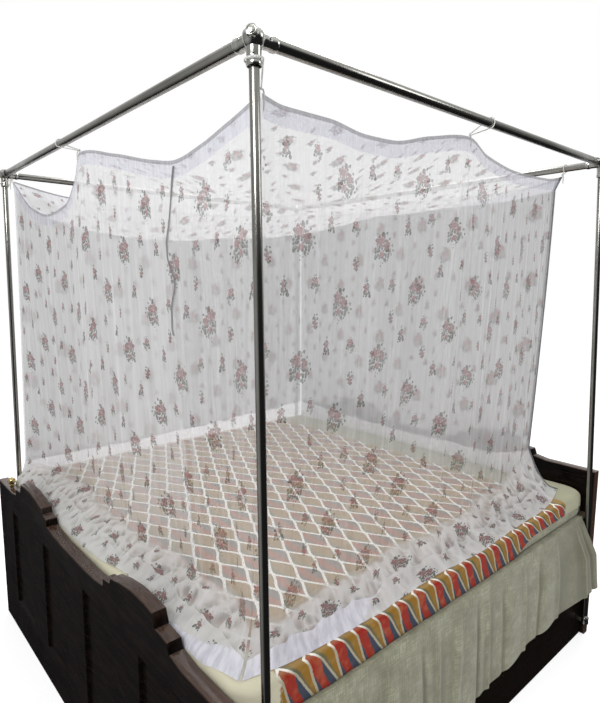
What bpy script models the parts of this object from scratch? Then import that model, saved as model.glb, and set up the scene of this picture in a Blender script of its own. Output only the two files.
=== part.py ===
"""Box-shaped mosquito net tied up in a tube frame over a box bed.

Frame: +X from the foot board to the head board, +Z up, the near long side at -Y.
Origin: on the floor, in the middle of the bed. Metres.
"""

import math

import bmesh
import bpy
import numpy as np
from mathutils import Matrix, Vector

# ---- driving dimensions ----------------------------------------------------------------

BED_LENGTH = 2.005  # over both end boards
BED_WIDTH = 1.930  # over both side panels
BOARD_THICK = 0.045
BOARD_PAST_PANEL = 0.021  # how far an end board stands out past the side panels
PANEL_THICK = 0.028
BASE_THICK = 0.015
BASE_TOP = 0.590
SEAT = 0.0003  # gap left between pieces that touch

MATTRESS_THICK = 0.104
MATTRESS_EDGE_IN = 0.014  # from the bed's outer side
MATTRESS_CORNER = 0.075
MATTRESS_ROUND = 0.020
SPREAD_THICK = 0.0025
SPREAD_CLEAR = 0.002
SHEET_THICK = 0.0015

POST_RADIUS = 0.011
RAIL_RADIUS = 0.0138
RAIL_HEIGHT = 2.115
POST_IN = 0.087  # from the end board's outer face to the post
POST_OUT = 0.036  # from the side panel's outer face to the post
FOOT_HEIGHT = 0.085
CUP_RADIUS = 0.017
CUP_TALL = 0.030
HUB_RADIUS = 0.024
SOCKET_RADIUS = 0.0165
SOCKET_REACH = 0.055
CAP_RADIUS = 0.013
CAP_REACH = 0.031

NET_THICK = 0.0016
BAND_THICK = 0.0020
BINDING_THICK = 0.0028
SEAM_GAP = 0.0005
HEM_GAP = 0.0010
BINDING_DEPTH = 0.010
HEADING_DEPTH = 0.045  # from the top edge to the bottom of the plain heading
HEM_DEPTH = 0.070
CORNER_HALF = 0.005  # half the width of the binding down each corner
ROOF_SAG = 0.085
NET_FLOOR = 0.0015  # from the bedspread up to the middle of the hem where it lies
TIE_RADIUS = 0.0019

SPREAD_TOP = BASE_TOP + SHEET_THICK + 2 * SEAT + MATTRESS_THICK + SEAT + SPREAD_THICK
BOARD_FACE = BED_LENGTH / 2 - BOARD_THICK  # inner face of each end board

# ---- short tables ----------------------------------------------------------------------

# How far each post's top leans from its foot. Columns: name, end (-1 foot, 1 head),
# side (-1 near, 1 far), lean along, lean across.
POSTS = [
    ("near", -1, -1, 0.014, 0.059),
    ("right", 1, -1, -0.046, 0.051),
    ("left", -1, 1, 0.026, -0.008),
    ("far", 1, 1, 0.003, 0.000),
]

RAILS = [("near", "right"), ("near", "left"), ("left", "far"), ("right", "far")]

# Half of the end boards' crest. Columns: distance from the middle, height on the foot board.
CREST = [
    (0.000, 0.677),
    (0.120, 0.677),
    (0.200, 0.681),
    (0.270, 0.690),
    (0.275, 0.716),
    (0.325, 0.722),
    (0.335, 0.742),
    (0.400, 0.757),
    (0.480, 0.768),
    (0.560, 0.768),
    (0.610, 0.762),
    (0.625, 0.724),
    (0.690, 0.718),
    (0.700, 0.690),
    (0.760, 0.680),
    (0.960, 0.680),
]
HEAD_RISE = 0.105  # the head board's crest is this much higher

# Sunk panels of an end board, half of them. Columns: from, to (distance from the middle),
# top height on the foot board.
SUNK_PANELS = [
    (0.090, 0.335, 0.600),
    (0.515, 0.765, 0.590),
]
SUNK_BOTTOM = 0.155
SUNK_DEPTH = 0.012

# The net's corners. Columns: name, top (x, y, z), knee (x, y, z), hem (x, y), all from the
# bed's near foot corner. The knee is where the wall meets the bed and turns outwards.
CORNERS = [
    ("near", (0.135, 0.045, 2.020), (0.150, 0.120, 0.775), (0.074, 0.060)),
    ("right", (1.880, 0.200, 2.074), (1.800, 0.212, 0.880), (1.862, 0.098)),
    ("far", (1.870, 1.870, 2.070), (1.868, 1.862, 0.785), (1.885, 1.890)),
    ("left", (0.125, 1.860, 2.072), (0.098, 1.862, 0.775), (0.066, 1.878)),
]

# How far each corner's top is pulled by its tie beyond the line of the corner. Columns:
# along the bed, across it, up.
CORNER_PULLS = {
    "near": (-0.004, -0.003, 0.004),
    "right": (0.000, -0.027, 0.010),
    "far": (0.008, 0.014, 0.006),
    "left": (-0.003, 0.016, 0.006),
}
PULL_REACH = 0.100  # how far along the top edge a tie's pull is felt

# Each wall's top edge between its corners. Columns: along, inset, height.
TOP_EDGES = {
    "near": [
        (0.20, 0.046, 2.011),
        (0.34, 0.049, 2.012),
        (0.47, 0.052, 1.999),
        (0.58, 0.055, 2.003),
        (0.75, 0.058, 2.042),
        (0.96, 0.062, 2.076),
        (1.10, 0.081, 2.045),
        (1.31, 0.111, 2.033),
        (1.60, 0.160, 2.050),
    ],
    "head": [
        (0.45, 0.135, 2.048),
        (0.75, 0.142, 2.046),
        (1.03, 0.135, 2.062),
        (1.35, 0.145, 2.030),
        (1.65, 0.140, 2.040),
    ],
    "far": [
        (0.35, 0.070, 2.030),
        (0.70, 0.078, 2.004),
        (1.00, 0.075, 2.004),
        (1.35, 0.078, 2.014),
        (1.65, 0.068, 2.035),
    ],
    "foot": [
        (0.155, 0.128, 1.988),
        (0.265, 0.124, 1.958),
        (0.385, 0.122, 1.940),
        (0.500, 0.122, 1.957),
        (0.750, 0.124, 2.014),
        (1.040, 0.122, 2.066),
        (1.110, 0.128, 1.990),
        (1.250, 0.136, 1.912),
        (1.450, 0.140, 1.896),
        (1.650, 0.134, 1.940),
    ],
}

# Slack folds in the roof. Columns: from x, y to x, y (from the bed's near foot corner),
# half width, how far up (+) or down (-) it stands.
ROOF_FOLDS = [
    (0.20, 0.10, 0.80, 0.75, 0.055, 0.022),
    (0.34, 0.08, 1.05, 0.60, 0.050, -0.020),
    (0.18, 0.26, 0.62, 1.05, 0.060, -0.018),
    (0.96, 0.10, 1.02, 0.75, 0.055, 0.020),
    (1.82, 0.26, 1.25, 0.80, 0.060, 0.020),
    (1.80, 1.80, 1.15, 1.20, 0.060, 0.018),
    (0.20, 1.78, 0.80, 1.25, 0.060, 0.016),
    (0.18, 1.06, 0.80, 1.00, 0.050, 0.016),
]

# Cords that tie the net to the frame. Columns: name, side and place along it (0 to 1) where
# it is knotted to the net, what it goes round, a point beside that (from the bed's near foot
# corner), length of its free end.
TIES = [
    ("near", "near", 0.0, "post_near", (0.101, 0.029, 2.073), 0.045),
    ("near_mid", "near", 0.5, "rail_near_right", (1.000, 0.025, 2.115), 0.030),
    ("right", "near", 1.0, "rail_right_far", (1.872, 0.160, 2.115), 0.035),
    ("far", "head", 1.0, "post_far", (1.921, 1.960, 2.073), 0.045),
    ("left", "far", 1.0, "post_left", (0.113, 1.952, 2.073), 0.045),
    ("foot_mid", "foot", 0.5, "rail_near_left", (0.107, 1.180, 2.115), 0.035),
]
TIE_CLEAR = 0.0008
KNOT_RADIUS = 0.0052
KNOT_LIFT = 0.0006  # from the net's top edge to the knot
TIE_STEPS = 10

# Where the knee and the hem lie between the corners. Columns: along, knee inset, knee
# height, hem inset.
FLOOR_EDGES = {
    "near": [
        (0.25, 0.118, 0.770, 0.034),
        (0.52, 0.128, 0.775, 0.026),
        (0.80, 0.138, 0.785, 0.034),
        (1.05, 0.136, 0.780, 0.024),
        (1.28, 0.162, 0.790, 0.031),
        (1.57, 0.174, 0.815, 0.038),
    ],
    "head": [
        (0.45, 0.150, 0.800, 0.112),
        (0.95, 0.135, 0.785, 0.100),
        (1.45, 0.130, 0.780, 0.104),
    ],
    "far": [
        (0.45, 0.088, 0.776, 0.056),
        (1.00, 0.080, 0.774, 0.050),
        (1.55, 0.076, 0.780, 0.048),
    ],
    "foot": [
        (0.28, 0.196, 0.775, 0.070),
        (0.46, 0.200, 0.770, 0.082),
        (0.68, 0.182, 0.776, 0.098),
        (0.85, 0.164, 0.770, 0.074),
        (1.10, 0.178, 0.772, 0.068),
        (1.40, 0.192, 0.776, 0.072),
        (1.66, 0.168, 0.772, 0.066),
    ],
}

# Main folds of each wall. Columns: along at the top, along at the knee, half width, how far
# out (+) or in (-) it stands at the knee.
FOLDS = {
    "near": [
        (0.29, 0.24, 0.045, 0.016),
        (0.42, 0.41, 0.034, -0.014),
        (0.57, 0.56, 0.040, 0.020),
        (0.77, 0.72, 0.042, -0.013),
        (0.95, 0.90, 0.046, 0.021),
        (1.06, 1.02, 0.034, -0.016),
        (1.16, 1.14, 0.036, 0.015),
        (1.33, 1.27, 0.040, -0.017),
        (1.46, 1.42, 0.036, 0.019),
        (1.62, 1.59, 0.040, -0.012),
    ],
    "head": [
        (0.42, 0.45, 0.050, -0.012),
        (0.66, 0.68, 0.055, 0.014),
        (0.92, 0.90, 0.045, -0.012),
        (1.18, 1.15, 0.050, 0.015),
        (1.40, 1.42, 0.050, -0.012),
        (1.65, 1.66, 0.045, 0.010),
    ],
    "far": [
        (0.34, 0.38, 0.050, 0.010),
        (0.62, 0.62, 0.050, -0.013),
        (0.88, 0.90, 0.055, 0.012),
        (1.16, 1.12, 0.050, -0.012),
        (1.44, 1.40, 0.050, 0.013),
        (1.66, 1.66, 0.045, -0.010),
    ],
    "foot": [
        (0.24, 0.26, 0.038, -0.012),
        (0.40, 0.42, 0.040, 0.014),
        (0.58, 0.58, 0.042, -0.014),
        (0.76, 0.74, 0.040, 0.015),
        (0.95, 0.92, 0.042, -0.013),
        (1.10, 1.12, 0.040, 0.016),
        (1.25, 1.30, 0.042, -0.015),
        (1.42, 1.48, 0.040, 0.014),
        (1.60, 1.64, 0.040, -0.011),
    ],
}
TIE_ALONG = {"near": 0.96, "head": 1.03, "far": 1.00, "foot": 1.04}
COLUMNS = {"near": 42, "head": 28, "far": 28, "foot": 42}  # whole times TOP_COLUMNS
TOP_COLUMNS = 14
SIDES = ["near", "head", "far", "foot"]

# Levels down a wall. Columns: share of the way from the heading to the knee.
WALL_SHARES = [0.0, 0.16, 0.36, 0.56, 0.76, 0.92, 1.0]
# Levels of the part that lies on the bed. Columns: share from knee to hem, lift of its swell.
LYING = [(0.0, 0.0), (0.22, 0.012), (0.50, 0.010)]
HEM_LEVELS = [(0.50, 0.010), (0.72, 0.012), (1.0, 0.0)]

# Near edge of the under-sheet. Columns: along, how far out it hangs, height of its hem.
SHEET_HANG = [
    (0.050, 0.0085, 0.160),
    (0.170, 0.0085, 0.160),
    (0.330, 0.0200, 0.164),
    (0.480, 0.0120, 0.168),
    (0.640, 0.0260, 0.166),
    (0.800, 0.0130, 0.170),
    (0.950, 0.0240, 0.172),
    (1.100, 0.0110, 0.184),
    (1.260, 0.0270, 0.202),
    (1.400, 0.0150, 0.214),
    (1.540, 0.0300, 0.222),
    (1.660, 0.0220, 0.228),
    (1.760, 0.0400, 0.236),
    (1.830, 0.0540, 0.244),
    (1.893, 0.0660, 0.252),
]
SHEET_COLUMNS = 26
SHEET_DROPS = [0.0, 0.12, 0.36, 0.66, 1.0]  # share of the way down to the hem
FLAP_SPREAD = 0.082  # how far the sheet's free corner swings past the post


# ---- small helpers ---------------------------------------------------------------------


def collection(name):
    made = bpy.data.collections.new(name)
    bpy.context.scene.collection.children.link(made)
    return made


def material(name, colour, roughness, metallic=0.0):
    made = bpy.data.materials.new(name)
    made.use_nodes = True
    shader = made.node_tree.nodes["Principled BSDF"]
    shader.inputs["Base Color"].default_value = (*colour, 1)
    shader.inputs["Roughness"].default_value = roughness
    shader.inputs["Metallic"].default_value = metallic
    return made


def add_mesh(name, mesh, home, finish):
    thing = bpy.data.objects.new(name, mesh)
    home.objects.link(thing)
    mesh.materials.clear()
    mesh.materials.append(finish)
    return thing


def from_bmesh(name, shape, home, finish):
    mesh = bpy.data.meshes.new(name)
    bmesh.ops.recalc_face_normals(shape, faces=shape.faces)
    shape.to_mesh(mesh)
    shape.free()
    return add_mesh(name, mesh, home, finish)


def settle(thing):
    """Turns an object, with its modifiers, into a plain mesh in its own place."""
    bpy.context.view_layer.update()
    seen = thing.evaluated_get(bpy.context.evaluated_depsgraph_get())
    mesh = bpy.data.meshes.new_from_object(seen)
    name, home, place = thing.name, thing.users_collection[0], thing.matrix_world.copy()
    finish = thing.data.materials[0]
    bpy.data.objects.remove(thing)
    shape = bmesh.new()
    shape.from_mesh(mesh)
    bmesh.ops.remove_doubles(shape, verts=shape.verts, dist=0.00001)
    shape.to_mesh(mesh)
    shape.free()
    made = add_mesh(name, mesh, home, finish)
    made.matrix_world = place
    return made


def box(name, low, high, home, finish):
    shape = bmesh.new()
    bmesh.ops.create_cube(shape, size=1)
    size = [b - a for a, b in zip(low, high)]
    bmesh.ops.scale(shape, vec=size, verts=shape.verts)
    middle = [(a + b) / 2 for a, b in zip(low, high)]
    bmesh.ops.translate(shape, vec=middle, verts=shape.verts)
    return from_bmesh(name, shape, home, finish)


def rod(name, start, end, radius, home, finish, sides=16):
    """A round bar between two points."""
    start, end = Vector(start), Vector(end)
    shape = bmesh.new()
    bmesh.ops.create_cone(
        shape, cap_ends=True, segments=sides, radius1=radius, radius2=radius,
        depth=(end - start).length,
    )
    turn = (end - start).to_track_quat("Z", "Y").to_matrix().to_4x4()
    place = Matrix.Translation((start + end) / 2) @ turn
    bmesh.ops.transform(shape, matrix=place, verts=shape.verts)
    return from_bmesh(name, shape, home, finish)


def boolean(thing, cutter, operation):
    cut = thing.modifiers.new(operation.title(), "BOOLEAN")
    cut.operation = operation
    cut.object = cutter


def cubic(rows, column, at):
    """Value of a smooth line through a table's rows, with no bulge between two of them."""
    xs = np.array([row[0] for row in rows], float)
    ys = np.array([row[column] for row in rows], float)
    spans = np.diff(xs)
    rises = np.diff(ys) / spans
    slopes = np.zeros(len(xs))
    for k in range(1, len(xs) - 1):
        before, after = rises[k - 1], rises[k]
        if before * after > 0:
            slopes[k] = 2 * before * after / (before + after)
    slopes[0], slopes[-1] = rises[0], rises[-1]
    i = int(np.clip(np.searchsorted(xs, at) - 1, 0, len(xs) - 2))
    t = (at - xs[i]) / spans[i]
    return float(
        ys[i] * (2 * t**3 - 3 * t**2 + 1)
        + ys[i + 1] * (3 * t**2 - 2 * t**3)
        + spans[i] * slopes[i] * (t**3 - 2 * t**2 + t)
        + spans[i] * slopes[i + 1] * (t**3 - t**2)
    )


def grid_sheet(name, rows, thick, home, finish, offset=0.0):
    """A thin sheet of cloth on rows of points, thickened to a closed solid."""
    shape = bmesh.new()
    points = [[shape.verts.new(p) for p in row] for row in rows]
    for upper, lower in zip(points, points[1:]):
        for a, b, c, d in zip(upper, upper[1:], lower[1:], lower):
            shape.faces.new((a, d, c, b))
    mesh = bpy.data.meshes.new(name)
    shape.to_mesh(mesh)
    shape.free()
    thing = add_mesh(name, mesh, home, finish)
    solid = thing.modifiers.new("Thickness", "SOLIDIFY")
    solid.thickness = thick
    solid.offset = offset
    return thing


# ---- tube frame ------------------------------------------------------------------------


def post_foot(end, side):
    return Vector((end * (BED_LENGTH / 2 - POST_IN), side * (BED_WIDTH / 2 + POST_OUT), 0))


def post_top(name):
    for row_name, end, side, along, across in POSTS:
        if row_name == name:
            foot = post_foot(end, side)
            return Vector((foot.x + along, foot.y + across, RAIL_HEIGHT))


def make_frame(home, cutters, steel, chrome):
    neighbours = {
        "near": ("right", "left"),
        "right": ("near", "far"),
        "left": ("near", "far"),
        "far": ("right", "left"),
    }
    for name, end, side, _, _ in POSTS:
        top = post_top(name)
        foot = post_foot(end, side)
        down = (Vector((foot.x, foot.y, FOOT_HEIGHT)) - top).normalized()
        make_fitting(name, top, down, neighbours[name], (end, side), home, cutters, chrome)
        start = foot + Vector((0, 0, FOOT_HEIGHT + CUP_TALL + 0.0007))
        finish = top + down * (SOCKET_REACH + SEAT)
        rod("post_" + name, start, finish, POST_RADIUS, home, steel)
        make_foot(name, foot, side, home, cutters, chrome)
    for first, second in RAILS:
        a, b = post_top(first), post_top(second)
        way = (b - a).normalized() * (SOCKET_REACH + SEAT)
        rod(f"rail_{first}_{second}", a + way, b - way, RAIL_RADIUS, home, steel)


def make_fitting(name, top, down, others, outwards, home, cutters, chrome):
    """Three-way corner: a round hub, two rail sockets, a post socket and a round cap."""
    shape = bmesh.new()
    bmesh.ops.create_uvsphere(shape, u_segments=12, v_segments=6, radius=HUB_RADIUS)
    bmesh.ops.translate(shape, vec=top, verts=shape.verts)
    hub = from_bmesh("fitting_" + name, shape, home, chrome)
    ways = [(post_top(other) - top).normalized() for other in others] + [down]
    for i, way in enumerate(ways):
        socket = rod(
            f"cut_{name}_socket_{i}", top, top + way * SOCKET_REACH, SOCKET_RADIUS,
            cutters, chrome, sides=12,
        )
        boolean(hub, socket, "UNION")
    out = Vector((outwards[0], outwards[1], 0.25)).normalized()
    cap = rod(f"cut_{name}_cap", top, top + out * CAP_REACH, CAP_RADIUS, cutters, chrome, sides=10)
    boolean(hub, cap, "UNION")


def make_foot(name, foot, side, home, cutters, chrome):
    """Cup that takes the post's foot, with a lug screwed to the side panel."""
    low = foot + Vector((0, 0, FOOT_HEIGHT))
    cup = rod("foot_" + name, low, low + Vector((0, 0, CUP_TALL)), CUP_RADIUS, home, chrome)
    panel = side * (BED_WIDTH / 2 + SEAT)
    ys = sorted((panel, foot.y))
    lug = box(
        f"cut_{name}_lug", (foot.x - 0.010, ys[0], FOOT_HEIGHT + 0.004),
        (foot.x + 0.010, ys[1], FOOT_HEIGHT + 0.024), cutters, chrome,
    )
    boolean(cup, lug, "UNION")


# ---- bed -------------------------------------------------------------------------------


def end_board(name, end, rise, home, cutters, wood):
    """An upright board with a stepped crest and four sunk panels on its outer face."""
    reach = BED_WIDTH / 2 + BOARD_PAST_PANEL
    half = [(min(out, reach), height + rise) for out, height in CREST[:-1]]
    half.append((reach, CREST[-1][1] + rise))
    outline = [(-out, height) for out, height in reversed(half)]
    outline += [(out, height) for out, height in half[1:]]
    outline += [(reach, 0.0), (-reach, 0.0)]
    curve = bpy.data.curves.new(name, "CURVE")
    curve.dimensions = "2D"
    curve.fill_mode = "BOTH"
    curve.extrude = BOARD_THICK / 2
    line = curve.splines.new("POLY")
    line.points.add(len(outline) - 1)
    for point, (y, z) in zip(line.points, outline):
        point.co = (y, z, 0, 1)
    line.use_cyclic_u = True
    curve.materials.append(wood)
    flat = bpy.data.objects.new(name, curve)
    home.objects.link(flat)
    upright = Matrix(((0, 0, 1, 0), (1, 0, 0, 0), (0, 1, 0, 0), (0, 0, 0, 1)))
    middle = end * (BED_LENGTH - BOARD_THICK) / 2
    flat.matrix_world = Matrix.Translation((middle, 0, 0)) @ upright
    board = settle(flat)
    face = end * BED_LENGTH / 2
    xs = sorted((face - end * SUNK_DEPTH, face + end * 0.010))
    for i, (inner, outer, top) in enumerate(SUNK_PANELS):
        for side in (-1, 1):
            ys = sorted((side * inner, side * outer))
            sunk = box(
                f"cut_{name}_{i}_{side}", (xs[0], ys[0], SUNK_BOTTOM),
                (xs[1], ys[1], top + rise), cutters, wood,
            )
            boolean(board, sunk, "DIFFERENCE")
    return board


def make_bed(home, cutters, wood, ply, ticking):
    end_board("foot_board", -1, 0.0, home, cutters, wood)
    end_board("head_board", 1, HEAD_RISE, home, cutters, wood)
    end = BOARD_FACE - SEAT
    panel_top = BASE_TOP - BASE_THICK - SEAT
    for name, side in (("near", -1), ("far", 1)):
        ys = sorted((side * BED_WIDTH / 2, side * (BED_WIDTH / 2 - PANEL_THICK)))
        box("side_panel_" + name, (-end, ys[0], 0), (end, ys[1], panel_top), home, wood)
    box(
        "bed_base", (-end, -BED_WIDTH / 2, panel_top + SEAT), (end, BED_WIDTH / 2, BASE_TOP),
        home, ply,
    )
    low = BASE_TOP + SHEET_THICK + 2 * SEAT
    soft_box("mattress", 0.0, low, low + MATTRESS_THICK, False, home, ticking)


def soft_box(name, grow, low, high, open_below, home, finish):
    """A box with round corners and soft edges, the size of the mattress or a little more."""
    half_x = BOARD_FACE - 0.0085 + grow
    half_y = BED_WIDTH / 2 - MATTRESS_EDGE_IN + grow
    thing = box(name, (-half_x, -half_y, low), (half_x, half_y, high), home, finish)
    shape = bmesh.new()
    shape.from_mesh(thing.data)
    if open_below:
        below = [face for face in shape.faces if face.normal.z < -0.5]
        bmesh.ops.delete(shape, geom=below, context="FACES_ONLY")
    weights = shape.edges.layers.float.new("bevel_weight_edge")
    for edge in shape.edges:
        a, b = edge.verts
        if abs(a.co.z - b.co.z) > 0.01:
            edge[weights] = 1.0
    shape.to_mesh(thing.data)
    shape.free()
    corners = thing.modifiers.new("Corners", "BEVEL")
    corners.limit_method = "WEIGHT"
    corners.width = MATTRESS_CORNER + grow
    corners.segments = 4
    edges = thing.modifiers.new("Edges", "BEVEL")
    edges.limit_method = "ANGLE"
    edges.angle_limit = math.radians(50)
    edges.width = MATTRESS_ROUND
    edges.segments = 2
    return thing


def make_spread(home, cloth):
    """Bedspread fitted over the mattress's top and sides."""
    low = BASE_TOP + SHEET_THICK + 3 * SEAT
    high = BASE_TOP + SHEET_THICK + 3 * SEAT + MATTRESS_THICK
    thing = soft_box("bedspread", SPREAD_CLEAR, low, high, True, home, cloth)
    solid = thing.modifiers.new("Thickness", "SOLIDIFY")
    solid.thickness = SPREAD_THICK
    solid.offset = 1.0


def sheet_column(along):
    """Points across the under-sheet at one place along the bed, far hem to near hem."""
    out = cubic(SHEET_HANG, 1, along)
    hem = cubic(SHEET_HANG, 2, along)
    edge = BED_WIDTH / 2
    rest = BASE_TOP + SEAT + SHEET_THICK / 2
    last = SHEET_HANG[-1][0]
    near_end = max(0.0, (along - (last - 0.30)) / 0.30) ** 2
    hang = []
    for share in SHEET_DROPS:
        height = BASE_TOP - 0.012 - share * (BASE_TOP - 0.012 - hem)
        away = 0.0060 + (out - 0.0060) * min(1.0, share * 2.2) ** 0.8
        swing = near_end * FLAP_SPREAD * max(0.0, share - 0.16)
        hang.append((swing, edge + away, height))
    over = [
        (0.0, edge - 0.080, rest),
        (0.0, edge - 0.007, rest),
        (0.0, edge + 0.001, rest + 0.0026),
        (0.0, edge + 0.0048, BASE_TOP - 0.002),
    ]
    side = over + hang
    x = along - BED_LENGTH / 2
    far = [(x + swing, y, z) for swing, y, z in reversed(side)]
    near = [(x + swing, -y, z) for swing, y, z in side]
    return far + near


def make_under_sheet(home, cloth):
    """Plain sheet laid over the bed's base, hanging down both long sides."""
    first, last = SHEET_HANG[0][0], SHEET_HANG[-1][0]
    places = np.linspace(first, last, SHEET_COLUMNS + 1)
    columns = [sheet_column(along) for along in places]
    grid_sheet("under_sheet", columns, SHEET_THICK, home, cloth)


def make_knob(home, brass):
    """Small turned knob on the foot board's crest by the left post."""
    profile = [(0.0, 0.040), (0.011, 0.037), (0.017, 0.026), (0.016, 0.016), (0.008, 0.008),
               (0.010, 0.004), (0.010, 0.0), (0.0, 0.0)]
    mesh = bpy.data.meshes.new("crest_knob")
    edges = [(i, i + 1) for i in range(len(profile) - 1)]
    mesh.from_pydata([(r, 0, z) for r, z in profile], edges, [])
    knob = add_mesh("crest_knob", mesh, home, brass)
    turn = knob.modifiers.new("Turn", "SCREW")
    turn.steps = turn.render_steps = 12
    turn.use_merge_vertices = True
    turn.merge_threshold = 0.0001
    seat = CREST[-1][1] + SEAT
    knob.location = (-BED_LENGTH / 2 + 0.024, 0.850, seat)


# ---- net -------------------------------------------------------------------------------


def corner(name, level):
    for row in CORNERS:
        if row[0] == name:
            return row[level]


def side_ends(side):
    """The corners that a side runs between, round the bed from the near foot corner."""
    names = [row[0] for row in CORNERS]
    i = SIDES.index(side)
    return names[i], names[(i + 1) % 4]


def to_table(side, point):
    """Along and inset of a point that is given from the bed's near foot corner."""
    x, y = point[0], point[1]
    if side == "near":
        return x, y
    if side == "head":
        return y, BED_LENGTH - x
    if side == "far":
        return x, BED_WIDTH - y
    return y, x


def to_world(side, along, inset, height):
    if side == "near":
        x, y = along, inset
    elif side == "head":
        x, y = BED_LENGTH - inset, along
    elif side == "far":
        x, y = along, BED_WIDTH - inset
    else:
        x, y = inset, along
    return Vector((x - BED_LENGTH / 2, y - BED_WIDTH / 2, height))


def with_ends(side, table, level):
    """A side's table with the rows of its two corners added, in order along the bed."""
    rows = list(table)
    for name in side_ends(side):
        point = corner(name, level)
        along, inset = to_table(side, point)
        if level == 1:
            rows.append((along, inset, point[2]))
        elif level == 2:
            hem = to_table(side, corner(name, 3))
            rows.append((along, inset, point[2], hem[1]))
    return sorted(rows)


def along_at(side, u, level):
    """Place along a side: u is 0 at its first corner, 0.5 at its middle tie, 1 at its last."""
    first, last = (to_table(side, corner(name, level))[0] for name in side_ends(side))
    middle = TIE_ALONG[side]
    if u < 0.5:
        return first + (middle - first) * u * 2
    return middle + (last - middle) * (u - 0.5) * 2


def top_point(side, u):
    along = along_at(side, u, 1)
    rows = with_ends(side, TOP_EDGES[side], 1)
    return to_world(side, along, cubic(rows, 1, along), cubic(rows, 2, along))


def knee_point(side, u):
    along = along_at(side, u, 2)
    rows = with_ends(side, FLOOR_EDGES[side], 2)
    return to_world(side, along, cubic(rows, 1, along), cubic(rows, 2, along))


def hem_point(side, u):
    along = along_at(side, u, 3)
    rows = with_ends(side, FLOOR_EDGES[side], 2)
    first, last = sorted(to_table(side, corner(name, 3))[0] for name in side_ends(side))
    ends = {first: None, last: None}
    table = [(row[0], row[3]) for row in rows[1:-1]]
    for name in side_ends(side):
        place, inset = to_table(side, corner(name, 3))
        ends[place] = inset
    table = sorted(table + list(ends.items()))
    return to_world(side, along, cubic(table, 1, along), SPREAD_TOP + NET_FLOOR)


def outward(side, u):
    """Level direction out of the net at a place round it."""
    step = 0.02
    ahead = top_point(side, min(1.0, u + step)) - top_point(side, max(0.0, u - step))
    return Vector((ahead.y, -ahead.x, 0)).normalized()


def fold(side, u, share):
    """How far the main folds push the wall out at a share of the way down it."""
    total = 0.0
    for top_at, knee_at, half_width, stand in FOLDS[side]:
        at = top_at + (knee_at - top_at) * share
        along = along_at(side, u, 1) + (along_at(side, u, 2) - along_at(side, u, 1)) * share
        total += stand * math.exp(-(((along - at) / half_width) ** 2))
    edge = min(1.0, min(u, 1 - u) / 0.05)
    return total * edge * (0.12 + 0.88 * share) * min(1.0, share / 0.1)


def pull(side, u, drop):
    """How far the ties at a side's corners pull its heading."""
    total = Vector((0, 0, 0))
    for name, away in zip(side_ends(side), (u, 1 - u)):
        felt = max(0.0, 1 - away * side_length(side) / PULL_REACH) ** 2
        total += Vector(CORNER_PULLS[name]) * felt * max(0.0, 1 - drop / HEADING_DEPTH)
    return total


def wall_point(side, u, drop, share):
    """A point on the wall: drop metres below the top edge, then a share of the rest."""
    top = top_point(side, u)
    knee = knee_point(side, u)
    full = (drop + (top.z - drop - knee.z) * share) / (top.z - knee.z)
    lean = full**1.4
    place = top.lerp(knee, lean)
    place.z = top.z + (knee.z - top.z) * full
    return place + outward(side, u) * fold(side, u, share) + pull(side, u, drop)


def lying_point(side, u, share, swell):
    """A point on the part of the wall that turns outwards and lies on the bed."""
    knee = wall_point(side, u, HEADING_DEPTH, 1.0)
    hem = hem_point(side, u)
    place = knee.lerp(hem, share)
    fall = (1 - share) ** 2.2
    bumps = 0.5 + 0.5 * math.sin(u * 57.0 + 2.3 * math.sin(u * 23.0) + SIDES.index(side))
    edge = min(1.0, min(u, 1 - u) / 0.06)
    place.z = hem.z + (knee.z - hem.z) * fall + swell * bumps * edge
    return place


def side_length(side):
    return abs(along_at(side, 1.0, 1) - along_at(side, 0.0, 1))


def corner_trim(side, u):
    """Pulls a side's end back from the corner by half of the corner binding."""
    trim = (CORNER_HALF + SEAM_GAP) / side_length(side)
    return trim + u * (1 - 2 * trim)


def refine(points, times):
    """The same line of points with every stretch cut in equal parts."""
    fine = []
    for a, b in zip(points, points[1:]):
        fine += [a.lerp(b, i / times) for i in range(times)]
    return fine + [points[-1]]


def side_steps(count):
    return [i / count for i in range(count + 1)]


def make_side(side, home, finishes):
    """One wall of the net with its plain heading, its hem band and its top binding."""
    net, band, binding = finishes
    tops = [corner_trim(side, u) for u in side_steps(TOP_COLUMNS)]
    walls = [corner_trim(side, u) for u in side_steps(COLUMNS[side])]
    gap = SEAM_GAP / 2

    def strip(us, upper, lower):
        return [[wall_point(side, u, drop, 0.0) for u in us] for drop in (upper, lower)]

    grid_sheet(
        "binding_" + side, strip(tops, 0.0, BINDING_DEPTH - gap), BINDING_THICK, home, binding
    )
    grid_sheet(
        "heading_" + side, strip(tops, BINDING_DEPTH + gap, HEADING_DEPTH - gap), BAND_THICK,
        home, band,
    )
    seam = [wall_point(side, u, HEADING_DEPTH + gap, 0.0) for u in tops]
    rows = [refine(seam, COLUMNS[side] // TOP_COLUMNS)]
    rows += [[wall_point(side, u, HEADING_DEPTH, s) for u in walls] for s in WALL_SHARES[1:]]
    rows += [[lying_point(side, u, s, swell) for u in walls] for s, swell in LYING[1:]]
    trimmed = []
    for upper, lower in zip(rows[-2], rows[-1]):
        back = (upper - lower).normalized() * HEM_GAP / 2
        trimmed.append(lower + back)
    rows[-1] = trimmed
    grid_sheet("wall_" + side, rows, NET_THICK, home, net)
    rows = [[lying_point(side, u, s, swell) for u in walls] for s, swell in HEM_LEVELS]
    rows[0] = [
        first + (second - first).normalized() * HEM_GAP / 2
        for first, second in zip(rows[0], rows[1])
    ]
    grid_sheet("hem_" + side, rows, BAND_THICK, home, band)


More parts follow.
